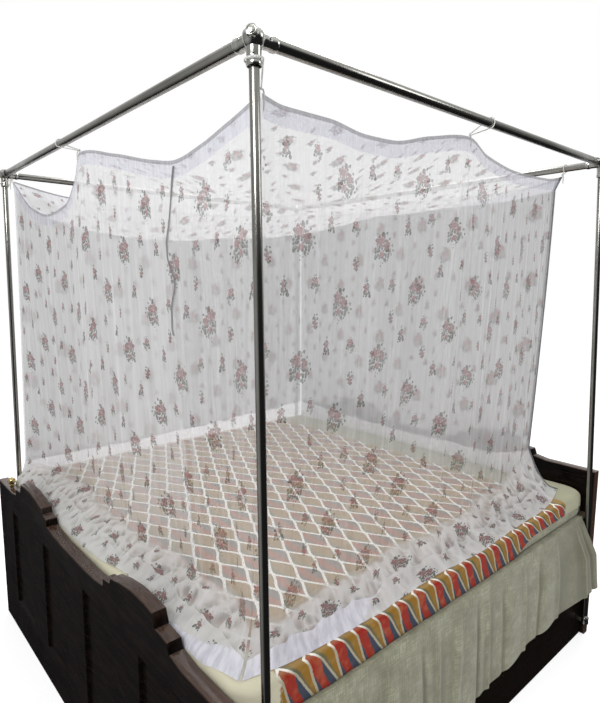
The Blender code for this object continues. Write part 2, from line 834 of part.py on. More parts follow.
def make_corner_binding(name, home, binding):
    """Binding sewn down one corner, from the top edge to the hem."""
    after = SIDES[[row[0] for row in CORNERS].index(name)]
    before = SIDES[SIDES.index(after) - 1]
    rows = []
    for share in [-1.0] + WALL_SHARES:
        row = []
        for side, where in ((before, 1.0), (after, 0.0)):
            half = CORNER_HALF / side_length(side)
            inner = 1.0 - half if where else half
            drop, part = (0.0, 0.0) if share < 0 else (HEADING_DEPTH, share)
            points = [wall_point(side, inner, drop, part), wall_point(side, where, drop, part)]
            row += points if where else [points[0]]
        rows.append(row)
    for share, swell in LYING[1:] + HEM_LEVELS[1:]:
        row = []
        for side, where in ((before, 1.0), (after, 0.0)):
            half = CORNER_HALF / side_length(side)
            inner = 1.0 - half if where else half
            points = [lying_point(side, inner, share, swell), lying_point(side, where, share, swell)]
            row += points if where else [points[0]]
        rows.append(row)
    grid_sheet("corner_binding_" + name, rows, BAND_THICK, home, binding)


def roof_fold(place):
    """How far the roof's slack folds lift it at a place."""
    total = 0.0
    x, y = place.x + BED_LENGTH / 2, place.y + BED_WIDTH / 2
    for from_x, from_y, to_x, to_y, half_width, rise in ROOF_FOLDS:
        way = Vector((to_x - from_x, to_y - from_y))
        here = Vector((x - from_x, y - from_y))
        part = here.dot(way) / way.length_squared
        off = abs(here.cross(way)) / way.length
        fade = math.exp(-((max(0.0, part - 0.35) / 0.40) ** 2)) if part > 0 else 1.0
        total += rise * fade * math.exp(-((off / half_width) ** 2)) * (part > -0.2)
    return total


def make_roof(home, net):
    """Roof panel, sewn inside the top edge and sagging between the ties."""
    steps = side_steps(TOP_COLUMNS)
    inside = BINDING_THICK / 2 + SEAM_GAP + 0.0002
    lower = 0.5 * BINDING_DEPTH

    def edge(side, u):
        place = wall_point(side, corner_trim(side, u), lower, 0.0)
        return place - outward(side, u) * inside

    near = [edge("near", u) for u in steps]
    head = [edge("head", u) for u in steps]
    far = [edge("far", 1 - u) for u in steps]
    foot = [edge("foot", 1 - u) for u in steps]
    rows = []
    for j, t in enumerate(steps):
        row = []
        for i, s in enumerate(steps):
            across = near[i] * (1 - t) + far[i] * t
            along = foot[j] * (1 - s) + head[j] * s
            corners = (near[0] * (1 - s) + near[-1] * s) * (1 - t)
            corners += (far[0] * (1 - s) + far[-1] * s) * t
            place = across + along - corners
            place.z -= ROOF_SAG * (16 * s * (1 - s) * t * (1 - t)) ** 0.75
            place.z += roof_fold(place) * min(1.0, 8 * min(s, 1 - s, t, 1 - t))
            row.append(place)
        rows.append(row)
    grid_sheet("roof", rows, NET_THICK, home, net)


# ---- ties ------------------------------------------------------------------------------


def tie_path(knot, centre, axis, radius, tail):
    """Out from the knot, once round a bar and back to the knot, then the free end."""
    ring = radius + TIE_RADIUS + TIE_CLEAR
    across = knot - centre
    across -= axis * across.dot(axis)
    flat = across.normalized()
    outwards = Vector((knot.x, knot.y, 0))
    up = axis.cross(flat)
    if up.dot(outwards) > 0:
        up = -up
    spread = math.acos(min(1.0, ring / across.length))
    loop = []
    for i in range(TIE_STEPS + 1):
        part = i / TIE_STEPS
        angle = spread + (2 * math.pi - 2 * spread) * part
        shift = axis * TIE_RADIUS * (1 - 2 * part)
        loop.append(centre + (flat * math.cos(angle) + up * math.sin(angle)) * ring + shift)
    strand = (centre - knot).normalized()
    apart = (up - strand * up.dot(strand)).normalized()
    end = knot - apart * TIE_RADIUS * 1.3
    free = [
        end - apart * 0.0042 + Vector((0, 0, -0.002)),
        end - apart * 0.0062 + Vector((0, 0, -0.45 * tail)),
        end - apart * 0.0050 + Vector((0, 0, -tail)),
    ]
    return [knot + apart * TIE_RADIUS * 1.3] + loop + [end] + free


def frame_bars():
    """A point on each bar's centre line, its direction and its radius."""
    bars = {}
    for name, end, side, _, _ in POSTS:
        top = post_top(name)
        foot = post_foot(end, side) + Vector((0, 0, FOOT_HEIGHT))
        bars["post_" + name] = (top, (foot - top).normalized(), SOCKET_RADIUS)
    for first, second in RAILS:
        top = post_top(first)
        way = (post_top(second) - top).normalized()
        bars[f"rail_{first}_{second}"] = (top, way, RAIL_RADIUS)
    return bars


def make_ties(home, cutters, cord):
    bars = frame_bars()
    shift = Vector((BED_LENGTH / 2, BED_WIDTH / 2, 0))
    for name, side, u, bar, beside, tail in TIES:
        start, axis, radius = bars[bar]
        centre = start + axis * (Vector(beside) - shift - start).dot(axis)
        knot = wall_point(side, u, 0.0, 0.0) + Vector((0, 0, KNOT_RADIUS + KNOT_LIFT))
        path = tie_path(knot, centre, axis, radius, tail)
        curve = bpy.data.curves.new("tie_" + name, "CURVE")
        curve.dimensions = "3D"
        curve.bevel_depth = TIE_RADIUS
        curve.bevel_resolution = 1
        curve.use_fill_caps = True
        line = curve.splines.new("POLY")
        line.points.add(len(path) - 1)
        for point, place in zip(line.points, path):
            point.co = (*place, 1)
        curve.materials.append(cord)
        tube = bpy.data.objects.new("tie_" + name, curve)
        home.objects.link(tube)
        tie = settle(tube)
        shape = bmesh.new()
        bmesh.ops.create_icosphere(shape, subdivisions=2, radius=KNOT_RADIUS)
        bmesh.ops.translate(shape, vec=knot, verts=shape.verts)
        boolean(tie, from_bmesh(f"cut_{name}_knot", shape, cutters, cord), "UNION")


# ---- start -----------------------------------------------------------------------------


def clear():
    for thing in list(bpy.data.objects):
        bpy.data.objects.remove(thing)


def main():
    clear()
    home = collection("mosquito_net_canopy")
    cutters = collection("cutters")
    steel = material("steel_tube", (0.60, 0.60, 0.58), 0.22, 1.0)
    chrome = material("chrome_fitting", (0.74, 0.74, 0.72), 0.15, 1.0)
    wood = material("dark_wood", (0.045, 0.022, 0.015), 0.35)
    ply = material("ply", (0.35, 0.24, 0.15), 0.7)
    ticking = material("ticking", (0.75, 0.72, 0.66), 0.9)
    spread = material("printed_cotton", (0.70, 0.42, 0.28), 0.9)
    plain = material("olive_cotton", (0.62, 0.60, 0.47), 0.9)
    net = material("printed_net", (0.88, 0.88, 0.90), 0.8)
    band = material("white_band", (0.86, 0.86, 0.92), 0.85)
    binding = material("grey_binding", (0.30, 0.30, 0.33), 0.8)
    cord = material("white_cord", (0.80, 0.80, 0.80), 0.9)
    brass = material("brass", (0.65, 0.50, 0.25), 0.3, 1.0)
    make_frame(home, cutters, steel, chrome)
    make_bed(home, cutters, wood, ply, ticking)
    make_under_sheet(home, plain)
    make_spread(home, spread)
    make_knob(home, brass)
    for side in SIDES:
        make_side(side, home, (net, band, binding))
    for row in CORNERS:
        make_corner_binding(row[0], home, binding)
    make_roof(home, net)
    make_ties(home, cutters, cord)
    for cutter in cutters.objects:
        cutter.hide_render = True
        cutter.display_type = "WIRE"


main()
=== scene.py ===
"""Looks of a box mosquito net tied up in a tube frame over a box bed.

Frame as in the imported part: +X from the foot board to the head board, +Z up, the near long
side at -Y, origin on the floor in the middle of the bed. Metres.
"""

import math

import bmesh
import bpy
import numpy as np
from mathutils import Matrix, Vector


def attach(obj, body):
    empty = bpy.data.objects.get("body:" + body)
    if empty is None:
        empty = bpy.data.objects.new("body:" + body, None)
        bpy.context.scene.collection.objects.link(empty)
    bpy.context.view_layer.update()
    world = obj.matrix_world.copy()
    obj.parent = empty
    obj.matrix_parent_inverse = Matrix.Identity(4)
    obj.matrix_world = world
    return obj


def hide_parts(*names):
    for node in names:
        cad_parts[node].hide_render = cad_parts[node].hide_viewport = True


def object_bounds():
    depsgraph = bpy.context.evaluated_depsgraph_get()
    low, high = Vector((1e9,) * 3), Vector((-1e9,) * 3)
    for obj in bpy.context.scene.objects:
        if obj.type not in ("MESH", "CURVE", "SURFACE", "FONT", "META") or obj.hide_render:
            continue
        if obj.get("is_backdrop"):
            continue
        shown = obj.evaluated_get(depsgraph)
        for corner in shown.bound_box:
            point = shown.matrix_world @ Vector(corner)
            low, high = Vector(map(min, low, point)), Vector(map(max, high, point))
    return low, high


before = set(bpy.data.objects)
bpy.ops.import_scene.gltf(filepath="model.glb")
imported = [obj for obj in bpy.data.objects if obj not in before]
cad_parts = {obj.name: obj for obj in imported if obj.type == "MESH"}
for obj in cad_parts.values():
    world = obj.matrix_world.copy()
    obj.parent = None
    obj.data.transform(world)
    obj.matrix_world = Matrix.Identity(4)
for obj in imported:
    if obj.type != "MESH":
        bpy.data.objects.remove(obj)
cad_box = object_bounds()

# ---- view ------------------------------------------------------------------------------
# Where the viewer stands: off the bed's near foot corner, at about eye height, looking a
# little down along the bed, with a lens a little wider than the eye's.

VIEW_FROM = (-1.6045, -1.8767, 1.6366)
VIEW_TURN = math.radians(48.418)  # from +X towards +Y
VIEW_DOWN = math.radians(7.437)
VIEW_ROLL = math.radians(0.174)
VIEW_LENS = 28.085


def placed(name, data):
    """An object of this data, put into the scene as it is."""
    made = bpy.data.objects.new(name, data)
    bpy.context.scene.collection.objects.link(made)
    return made


flat_way = Vector((math.cos(VIEW_TURN), math.sin(VIEW_TURN), 0))
forward = flat_way * math.cos(VIEW_DOWN) + Vector((0, 0, -math.sin(VIEW_DOWN)))
level = Vector((math.sin(VIEW_TURN), -math.cos(VIEW_TURN), 0))
rise = level.cross(forward)
right = level * math.cos(VIEW_ROLL) + rise * math.sin(VIEW_ROLL)
upward = rise * math.cos(VIEW_ROLL) - level * math.sin(VIEW_ROLL)
camera = placed("camera", bpy.data.cameras.new("camera"))
camera.data.sensor_width = 36
camera.data.lens = VIEW_LENS
turn = Matrix((right, upward, -forward)).transposed().to_4x4()
camera.matrix_world = Matrix.Translation(VIEW_FROM) @ turn
bpy.context.scene.camera = camera

# ---- posts and rails -------------------------------------------------------------------
# Four upright tubes and four rails of bright drawn steel, 22 and 27 mm across. The posts
# stand in cups outside the bed's long sides and lean a little, each its own way.

BED_LENGTH = 2.005
BED_WIDTH = 1.930
POST_RADIUS = 0.011
RAIL_RADIUS = 0.0138
RAIL_HEIGHT = 2.115
POST_IN = 0.087
POST_OUT = 0.036
FOOT_HEIGHT = 0.085
CUP_TALL = 0.030
SOCKET_REACH = 0.055
TUBE_EDGE = 0.0012
TUBE_GAP = 0.001

# Columns: name, end (-1 foot, 1 head), side (-1 near, 1 far), lean along, lean across.
POSTS = [
    ("near", -1, -1, 0.014, 0.059), ("right", 1, -1, -0.046, 0.051),
    ("left", -1, 1, 0.026, -0.008), ("far", 1, 1, 0.003, 0),
]
RAILS = [("near", "right"), ("near", "left"), ("left", "far"), ("right", "far")]
STEEL = (0.40, 0.395, 0.37, 1)
STEEL_DULL = (0.235, 0.23, 0.205, 1)


class Value:
    """A number, place or colour that a material works out, open to plain sums."""

    def __init__(self, made, key=0):
        self.socket = made.outputs[key]
        self.tree = made.id_data

    def __add__(self, other):
        return sums("ADD", self, other)

    def __sub__(self, other):
        return sums("SUBTRACT", self, other)

    def __mul__(self, other):
        return sums("MULTIPLY", self, other)

    def __truediv__(self, other):
        return sums("DIVIDE", self, other)


def node(tree, kind, inputs=None, **settings):
    """A material's node. Each input is set to a constant or linked to a Value."""
    made = tree.nodes.new(kind)
    for name, value in settings.items():
        setattr(made, name, value)
    connect(made, inputs or {})
    return made


def connect(made, inputs):
    """Sets a node's inputs to constants or links them to Values."""
    for key, value in inputs.items():
        if isinstance(value, Value):
            value.tree.links.new(value.socket, made.inputs[key])
        else:
            made.inputs[key].default_value = value


def sums(operation, *values):
    """The result of a sum on Values and constants."""
    tree = next(value.tree for value in values if isinstance(value, Value))
    return Value(node(tree, "ShaderNodeMath", dict(enumerate(values)), operation=operation))


def blend(share, first, second):
    """The colour a share of the way from the first to the second."""
    inputs = {0: share, 6: first, 7: second}
    return Value(node(share.tree, "ShaderNodeMix", inputs, data_type="RGBA"), 2)


def between(value, low, high, start=0.0, end=1.0):
    """A number carried from one span to another, and held at its ends."""
    inputs = {"Value": value, "From Min": low, "From Max": high}
    inputs |= {"To Min": start, "To Max": end}
    return Value(node(value.tree, "ShaderNodeMapRange", inputs, clamp=True))


def fresh_material(name):
    """A new material, its tree of nodes and its shader."""
    made = bpy.data.materials.new(name)
    made.use_nodes = True
    return made, made.node_tree, made.node_tree.nodes["Principled BSDF"]


def cloth_place(tree, scale=(1, 1, 1), shift=(0, 0, 0)):
    """Place on the cloth in metres, from the mesh's own flat map."""
    flat = Value(node(tree, "ShaderNodeUVMap", uv_map="flat"))
    inputs = {"Vector": flat, "Scale": scale, "Location": shift}
    return Value(node(tree, "ShaderNodeMapping", inputs))


def noise(place, scale, detail=3.0, rough=0.55):
    """Cloudy unevenness from 0 to 1."""
    inputs = {"Vector": place, "Scale": scale, "Detail": detail, "Roughness": rough}
    return Value(node(place.tree, "ShaderNodeTexNoise", inputs))


def finish(shader, colour, rough, relief, strength, distance, **more):
    """Gives a material its colour, roughness and relief, and any more inputs by name."""
    inputs = {"Strength": strength, "Distance": distance, "Height": relief}
    bump = Value(node(relief.tree, "ShaderNodeBump", inputs))
    connect(shader, {"Base Color": colour, "Roughness": rough, "Normal": bump})
    connect(shader, {key.replace("_", " "): value for key, value in more.items()})


def steel_material(name, bright, dull, smooth, rough):
    """Drawn steel: fine scratches along the tube, dulled by handling in patches."""
    made, tree, shader = fresh_material(name)
    along = noise(cloth_place(tree, (900, 6, 1)), 1.0, 4.0)
    patches = noise(cloth_place(tree, (9, 4, 1)), 1.0, 5.0, 0.6)
    dulled = between(patches, 0.42, 0.75)
    gloss = between(along * 0.10 + dulled * 0.16, 0.0, 0.26, smooth, rough)
    finish(shader, blend(dulled, bright, dull), gloss, along, 0.06, 0.0002, Metallic=1.0)
    return made


def grid_mesh(name, points, flat, material, closed=False):
    """A smooth piece on a grid of points, with its flat map in metres.

    Points are rows by columns by 3. A closed grid joins its last column to its first, and
    its flat map has one column more than its points.
    """
    points, flat = np.asarray(points, float), np.asarray(flat, float)
    rows, columns = points.shape[:2]
    index = np.arange(rows * columns).reshape(rows, columns)
    if closed:
        index = np.column_stack([index, index[:, 0]])
    place = np.arange(rows * flat.shape[1]).reshape(rows, -1)

    def corners(table):
        """The four corners of each face, from a table of points."""
        parts = (table[:-1, :-1], table[1:, :-1], table[1:, 1:], table[:-1, 1:])
        return np.column_stack([part.ravel() for part in parts])

    faces, places = corners(index), corners(place)
    mesh = bpy.data.meshes.new(name)
    mesh.vertices.add(rows * columns)
    mesh.vertices.foreach_set("co", points.reshape(-1))
    mesh.loops.add(faces.size)
    mesh.loops.foreach_set("vertex_index", faces.reshape(-1).astype(np.int32))
    mesh.polygons.add(len(faces))
    mesh.polygons.foreach_set("loop_start", np.arange(len(faces), dtype=np.int32) * 4)
    mesh.update(calc_edges=True)
    mesh.shade_smooth()
    layer = mesh.uv_layers.new(name="flat")
    layer.data.foreach_set("uv", flat.reshape(-1, 2)[places.reshape(-1)].reshape(-1))
    mesh.materials.append(material)
    return placed(name, mesh)


def turned(name, profile, start, way, material, steps=40):
    """A turned shape. Profile rows are the radius and the place along the way."""
    start, way = Vector(start), Vector(way).normalized()
    side = way.orthogonal().normalized()
    other = way.cross(side)
    angles = [2 * math.pi * i / steps for i in range(steps + 1)]
    outs = [side * math.cos(angle) + other * math.sin(angle) for angle in angles[:-1]]
    points = [[start + way * at + out * radius for out in outs] for radius, at in profile]
    widest = max(radius for radius, _ in profile)
    flat = [[(widest * angle, at) for angle in angles] for _, at in profile]
    piece = grid_mesh(name, points, flat, material, closed=True)
    piece.data.set_sharp_from_angle(angle=math.radians(38))
    return piece


def stand_for(piece, slot, *nodes):
    """The piece rides on the body and replaces the named nodes. The slot is not used."""
    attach(piece, "root")
    if nodes:
        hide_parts(*nodes)


def post_ends(name):
    """Foot and top of a post's centre line."""
    _, end, side, along, across = next(row for row in POSTS if row[0] == name)
    x, y = end * (BED_LENGTH / 2 - POST_IN), side * (BED_WIDTH / 2 + POST_OUT)
    return Vector((x, y, FOOT_HEIGHT)), Vector((x + along, y + across, RAIL_HEIGHT))


def tube(name, radius, start, end, near_gap, far_gap, material):
    """A drawn tube with rounded ends, stopped short of two points."""
    way = (end - start).normalized()
    length = (end - start).length - near_gap - far_gap
    edge = TUBE_EDGE
    rounded = [(radius - edge, 0.0), (radius - edge * 0.3, edge * 0.3), (radius, edge)]
    quarters = [(radius, length * share) for share in (0.25, 0.5, 0.75)]
    profile = rounded + quarters + [(out, length - at) for out, at in reversed(rounded)]
    return turned(name, profile, start + way * near_gap, way, material)


steel = steel_material("bright_steel", STEEL, STEEL_DULL, 0.15, 0.32)
for name, *_ in POSTS:
    low, high = CUP_TALL + TUBE_GAP, SOCKET_REACH + TUBE_GAP
    piece = tube("steel_post_" + name, POST_RADIUS, *post_ends(name), low, high, steel)
    stand_for(piece, "steel_tube", "post_" + name)
for first, second in RAILS:
    ends = [post_ends(corner)[1] for corner in (first, second)]
    gap = SOCKET_REACH + TUBE_GAP / 2
    piece = tube(f"steel_rail_{first}_{second}", RAIL_RADIUS, *ends, gap, gap, steel)
    stand_for(piece, "steel_tube", f"rail_{first}_{second}")

# ---- corner fittings and feet ----------------------------------------------------------
# Cast three-way corners, chrome plated: a round hub with two rail sockets, a post socket
# and a round cap, each socket rolled at its mouth and held by a screw. Each post stands in
# a cup on a lug screwed to the side of the bed.

HUB_RADIUS = 0.024
SOCKET_RADIUS = 0.0165
SCREW_ALONG = 0.032
SCREW_OUT = 0.0145
LUG_SIDE = 0.019
LUG_SHORT = 0.014
LUG_RISE = 0.014
LUG_ROUND = 0.002
LUG_GAP = 0.0004
CAP_TILT = 0.25
CHROME = (0.58, 0.58, 0.55, 1)
CHROME_DULL = (0.26, 0.26, 0.22, 1)
SOCKET_PROFILE = [
    (0.015, 0.012), (0.0158, 0.02), (0.0152, 0.036), (0.0154, 0.044), (0.0165, 0.0455),
    (0.0165, 0.053), (0.0158, 0.0548), (0.0142, 0.0549), (0.0138, 0.05),
]
CAP_PROFILE = [
    (0.013, 0.016), (0.013, 0.0262), (0.0122, 0.0285), (0.0098, 0.0292), (0.0092, 0.027),
    (0.008, 0.0272), (0.0074, 0.03), (0.0045, 0.0309), (0.0001, 0.031),
]
SCREW_PROFILE = [
    (0.0034, 0), (0.0034, 0.0014), (0.0026, 0.0022), (0.0012, 0.0024), (0.001, 0.0012),
    (0.0001, 0.0012),
]
CUP_PROFILE = [
    (0.0001, 0), (0.015, 0), (0.0166, 0.0012), (0.017, 0.004), (0.0158, 0.007),
    (0.0155, 0.023), (0.017, 0.025), (0.017, 0.0285), (0.016, 0.0299), (0.0122, 0.0299),
    (0.0118, 0.024),
]


def shape_piece(name, shape, material):
    """A piece made of a bmesh shape, which is used up."""
    mesh = bpy.data.meshes.new(name)
    shape.to_mesh(mesh)
    shape.free()
    mesh.materials.append(material)
    return placed(name, mesh)


def joined(name, pieces):
    """Several meshes of one material made into one piece."""
    shape = bmesh.new()
    material = pieces[0].data.materials[0]
    for piece in pieces:
        shape.from_mesh(piece.data)
        bpy.data.objects.remove(piece)
    return shape_piece(name, shape, material)


def hub_profile(radius, rows=14):
    """Half of a circle, all but closed at its two ends."""
    angles = [math.pi * (i + 0.02) / (rows + 0.04) for i in range(rows + 1)]
    return [(radius * math.sin(angle), -radius * math.cos(angle)) for angle in angles]


chrome = steel_material("plated_fitting", CHROME, CHROME_DULL, 0.10, 0.36)
for name, end, side, _, _ in POSTS:
    foot, top = post_ends(name)
    others = [other for pair in RAILS if name in pair for other in pair if other != name]
    ways = [(post_ends(other)[1] - top).normalized() for other in others]
    ways.append((foot - top).normalized())
    out = Vector((end, side, CAP_TILT)).normalized()
    parts = [turned("hub", hub_profile(HUB_RADIUS), top, out, chrome, 32)]
    for way in ways:
        parts.append(turned("socket", SOCKET_PROFILE, top, way, chrome, 32))
        across = (out - way * out.dot(way)).normalized()
        seat = top + way * SCREW_ALONG + across * SCREW_OUT
        parts.append(turned("screw", SCREW_PROFILE, seat, across, chrome, 12))
    parts.append(turned("cap", CAP_PROFILE, top, out, chrome, 32))
    stand_for(joined("corner_fitting_" + name, parts), "chrome_fitting", "fitting_" + name)

    cup = turned("cup", CUP_PROFILE, foot, (0, 0, 1), chrome, 32)
    panel = side * (BED_WIDTH / 2 + LUG_GAP)
    reach = abs(foot.y - panel) - LUG_SHORT
    middle = (foot.x, panel + side * reach / 2, FOOT_HEIGHT + LUG_RISE)
    shape = bmesh.new()
    bmesh.ops.create_cube(shape, size=1)
    bmesh.ops.scale(shape, vec=(LUG_SIDE, reach, LUG_SIDE), verts=shape.verts)
    bmesh.ops.translate(shape, vec=middle, verts=shape.verts)
    bmesh.ops.bevel(
        shape, geom=shape.edges, offset=LUG_ROUND, segments=2, affect="EDGES", profile=0.5
    )
    lug = shape_piece("lug", shape, chrome)
    stand_for(joined("post_foot_" + name, [cup, lug]), "chrome_fitting", "foot_" + name)

# ---- end boards ------------------------------------------------------------------------
# Solid dark timber, gloss varnished, with a stepped crest whose top edge is rounded over,
# and four sunk panels on the outer face, each with a moulding round it.

BOARD_THICK = 0.045
BOARD_REACH = 0.986
BOARD_ROUND = 0.007
HEAD_RISE = 0.105
# Half of the crest. Columns: distance from the middle, height on the foot board.
CREST = [
    (0, 0.677), (0.12, 0.677), (0.2, 0.681), (0.27, 0.69), (0.275, 0.716), (0.325, 0.722),
    (0.335, 0.742), (0.4, 0.757), (0.48, 0.768), (0.56, 0.768), (0.61, 0.762), (0.625, 0.724),
    (0.69, 0.718), (0.7, 0.69), (0.76, 0.68), (0.986, 0.68),
]
# Columns: from, to (distance from the middle), top height on the foot board.
SUNK_PANELS = [
    (0.09, 0.335, 0.6), (0.515, 0.765, 0.59),
]
SUNK_BOTTOM = 0.155
SUNK_DEPTH = 0.012
MOULDING = 0.010
CREST_HEIGHT = 0.63
WOOD_DARK = (0.0024, 0.0017, 0.0014, 1)
WOOD_WARM = (0.0082, 0.0046, 0.0033, 1)
# Lighter colour for edges rubbed back, and painted light on the crest's upward faces.
WOOD_WORN_AND_LIT = (0.085, 0.048, 0.034, 1)
# The side panels take a darker copy of the end boards' timber: painted shade.
SIDE_DARK = (0.0010, 0.0008, 0.0007, 1)
SIDE_WARM = (0.0034, 0.0024, 0.0019, 1)
SIDE_WORN = (0.0110, 0.0072, 0.0054, 1)


def split(value):
    """The three parts of a place or direction."""
    made = node(value.tree, "ShaderNodeSeparateXYZ", {"Vector": value})
    return [Value(made, i) for i in range(3)]


def object_place(tree, scale=None):
    """Place on the object in metres, stretched by a scale where one is given."""
    place = Value(node(tree, "ShaderNodeTexCoord"), "Object")
    if scale is None:
        return place
    return Value(node(tree, "ShaderNodeMapping", {"Vector": place, "Scale": scale}))


def wood_material(name, dark, warm, worn_and_lit):
    """Dark stained timber under gloss varnish, worn lighter on its edges."""
    made, tree, shader = fresh_material(name)
    rings = sums("SINE", noise(object_place(tree, (30.0, 3.0, 26.0)), 0.6, 3.0) * 42.0)
    pores = noise(object_place(tree, (260.0, 16.0, 240.0)), 1.0, 2.0)
    mixed = between(rings, -1.0, 1.0) * between(pores, 0.35, 0.65, 0.35, 1.0)
    geometry = node(tree, "ShaderNodeNewGeometry")
    edge = between(Value(geometry, "Pointiness"), 0.53, 0.60, 0.0, 0.55)
    worn = blend(edge, blend(mixed, dark, warm), worn_and_lit)
    # The crest's upward faces are painted lighter: painted light from above.
    facing_up = between(split(Value(geometry, "Normal"))[2], 0.35, 0.9)
    height = split(object_place(tree))[2]
    crest = facing_up * between(height, CREST_HEIGHT, CREST_HEIGHT + 0.03)
    lit_crest_top = crest * between(pores, 0.3, 0.7, 0.35, 0.85)
    smudge = noise(object_place(tree), 7.0, 4.0, 0.6)
    gloss = crest * -0.08 + between(smudge, 0.35, 0.70, 0.20, 0.42)
    finish(
        shader, blend(lit_crest_top, worn, worn_and_lit), gloss, pores, 0.12, 0.0005,
        Coat_Weight=crest * 0.60 + 0.02, Specular_IOR_Level=0.07, Coat_Roughness=0.10,
    )
    return made


def outcome(piece):
    """A mesh of the piece as its curve or modifiers make it."""
    bpy.context.view_layer.update()
    seen = piece.evaluated_get(bpy.context.evaluated_depsgraph_get())
    return bpy.data.meshes.new_from_object(seen)


def straight_curve(name, places, **settings):
    """A curve that runs straight from place to place."""
    curve = bpy.data.curves.new(name, "CURVE")
    for key, value in settings.items():
        setattr(curve, key, value)
    line = curve.splines.new("POLY")
    line.points.add(len(places) - 1)
    for point, place in zip(line.points, places):
        point.co = (*place, 1)
    return curve


def end_board(name, end, lift, wood):
    """The board's crest outline, thick and rounded, less its sunk panels."""
    half = [(out, height + lift) for out, height in CREST]
    outline = [(-out, height) for out, height in reversed(half)] + half[1:]
    outline += [(BOARD_REACH, 0.0), (-BOARD_REACH, 0.0)]
    curve = straight_curve(
        name, [(y, z, 0) for y, z in outline], dimensions="2D", fill_mode="BOTH",
        extrude=BOARD_THICK / 2 - BOARD_ROUND, bevel_depth=BOARD_ROUND, bevel_resolution=3,
        offset=-BOARD_ROUND,
    )
    curve.splines[0].use_cyclic_u = True
    flat = placed(name, curve)
    mesh = outcome(flat)
    bpy.data.objects.remove(flat)
    upright = Matrix(((0, 0, 1, 0), (1, 0, 0, 0), (0, 1, 0, 0), (0, 0, 0, 1)))
    mesh.transform(Matrix.Translation((end * (BED_LENGTH - BOARD_THICK) / 2, 0, 0)) @ upright)
    mesh.materials.clear()
    mesh.materials.append(wood)
    board = placed(name, mesh)
    cutters = [
        panel_cutter(end, side * inner, side * outer, top + lift)
        for inner, outer, top in SUNK_PANELS
        for side in (-1, 1)
    ]
    cut = board.modifiers.new("Panels", "BOOLEAN")
    cut.operation = "DIFFERENCE"
    cut.object = joined("cutters", cutters)
    cut.solver = "EXACT"
    made = outcome(board)
    bpy.data.objects.remove(cut.object)
    board.modifiers.clear()
    board.data = made
    made.shade_smooth()
    made.set_sharp_from_angle(angle=math.radians(32))
    return board


def panel_cutter(end, first, last, top):
    """Block that sinks one panel, with sloping sides for the moulding round it."""
    face = end * BED_LENGTH / 2
    low_y, high_y = sorted((first, last))
    # Columns: how far out of the board's face, how far in from the panel's outline.
    levels = [
        (0.010, -0.004),
        (0.0, 0.0),
        (-0.004, MOULDING * 0.35),
        (-0.006, MOULDING * 0.40),
        (-SUNK_DEPTH, MOULDING),
    ]
    points = []
    for out, inset in levels:
        x, y0, y1 = face + end * out, low_y + inset, high_y - inset
        z0, z1 = SUNK_BOTTOM + inset, top - inset
        points.append([(x, y0, z0), (x, y1, z0), (x, y1, z1), (x, y0, z1)])
    cutter = grid_mesh("cutter", points, np.zeros((len(levels), 5, 2)), None, closed=True)
    shape = bmesh.new()
    shape.from_mesh(cutter.data)
    open_edges = [edge for edge in shape.edges if edge.is_boundary]
    for out, _ in (levels[0], levels[-1]):
        x = face + end * out
        loop = [edge for edge in open_edges if abs(edge.verts[0].co.x - x) < 1e-5]
        bmesh.ops.contextual_create(shape, geom=loop)
    bmesh.ops.recalc_face_normals(shape, faces=shape.faces)
    shape.to_mesh(cutter.data)
    shape.free()
    return cutter


def refinish(name, material):
    """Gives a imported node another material."""
    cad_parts[name].data.materials.clear()
    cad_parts[name].data.materials.append(material)


wood = wood_material("dark_timber", WOOD_DARK, WOOD_WARM, WOOD_WORN_AND_LIT)
side_wood_shaded = wood_material("side_timber_shade_painted", SIDE_DARK, SIDE_WARM, SIDE_WORN)
stand_for(end_board("timber_foot_board", -1, 0.0, wood), "dark_wood", "foot_board")
stand_for(end_board("timber_head_board", 1, HEAD_RISE, wood), "dark_wood", "head_board")
refinish("side_panel_near", side_wood_shaded)
refinish("side_panel_far", side_wood_shaded)

# ---- bed base and mattress -------------------------------------------------------------
# A ply sheet laid on the box, its colour darkened as painted shade, and on it a 4 inch
# mattress in an olive cotton cover, with round corners and soft edges.

BASE_TOP = 0.590
MATTRESS_LOW = 0.5921
MATTRESS_HIGH = 0.6961
MATTRESS_HALF = (0.9490, 0.9510)
MATTRESS_CORNER = 0.075
MATTRESS_ROUND = 0.020
MATTRESS_BULGE = 0.0012
PLY_PALE_SHADED = (0.060, 0.044, 0.028, 1)
PLY_DEEP_SHADED = (0.030, 0.021, 0.013, 1)
OLIVE = (0.230, 0.225, 0.150, 1)
OLIVE_SHADE = (0.115, 0.112, 0.068, 1)
OLIVE_LIGHT = (0.35, 0.35, 0.25, 1)
COTTON_WEAVE = 1400.0


def ply_material():
    """Rotary-cut veneer with its wide wandering figure, darkened as painted shade."""
    made, tree, shader = fresh_material("ply_shade_painted")
    figure = noise(object_place(tree, (1.5, 14.0, 40.0)), 1.0, 4.0)
    colour = blend(between(figure, 0.3, 0.7), PLY_PALE_SHADED, PLY_DEEP_SHADED)
    finish(shader, colour, between(figure, 0.2, 0.8, 0.55, 0.8), figure, 0.3, 0.001)
    return made


def woven(place, threads):
    """Height of a plain weave. Threads is its pitch, in radians to the metre."""
    across, down, _ = split(place)
    return sums("SINE", across * threads) * sums("SINE", down * threads)


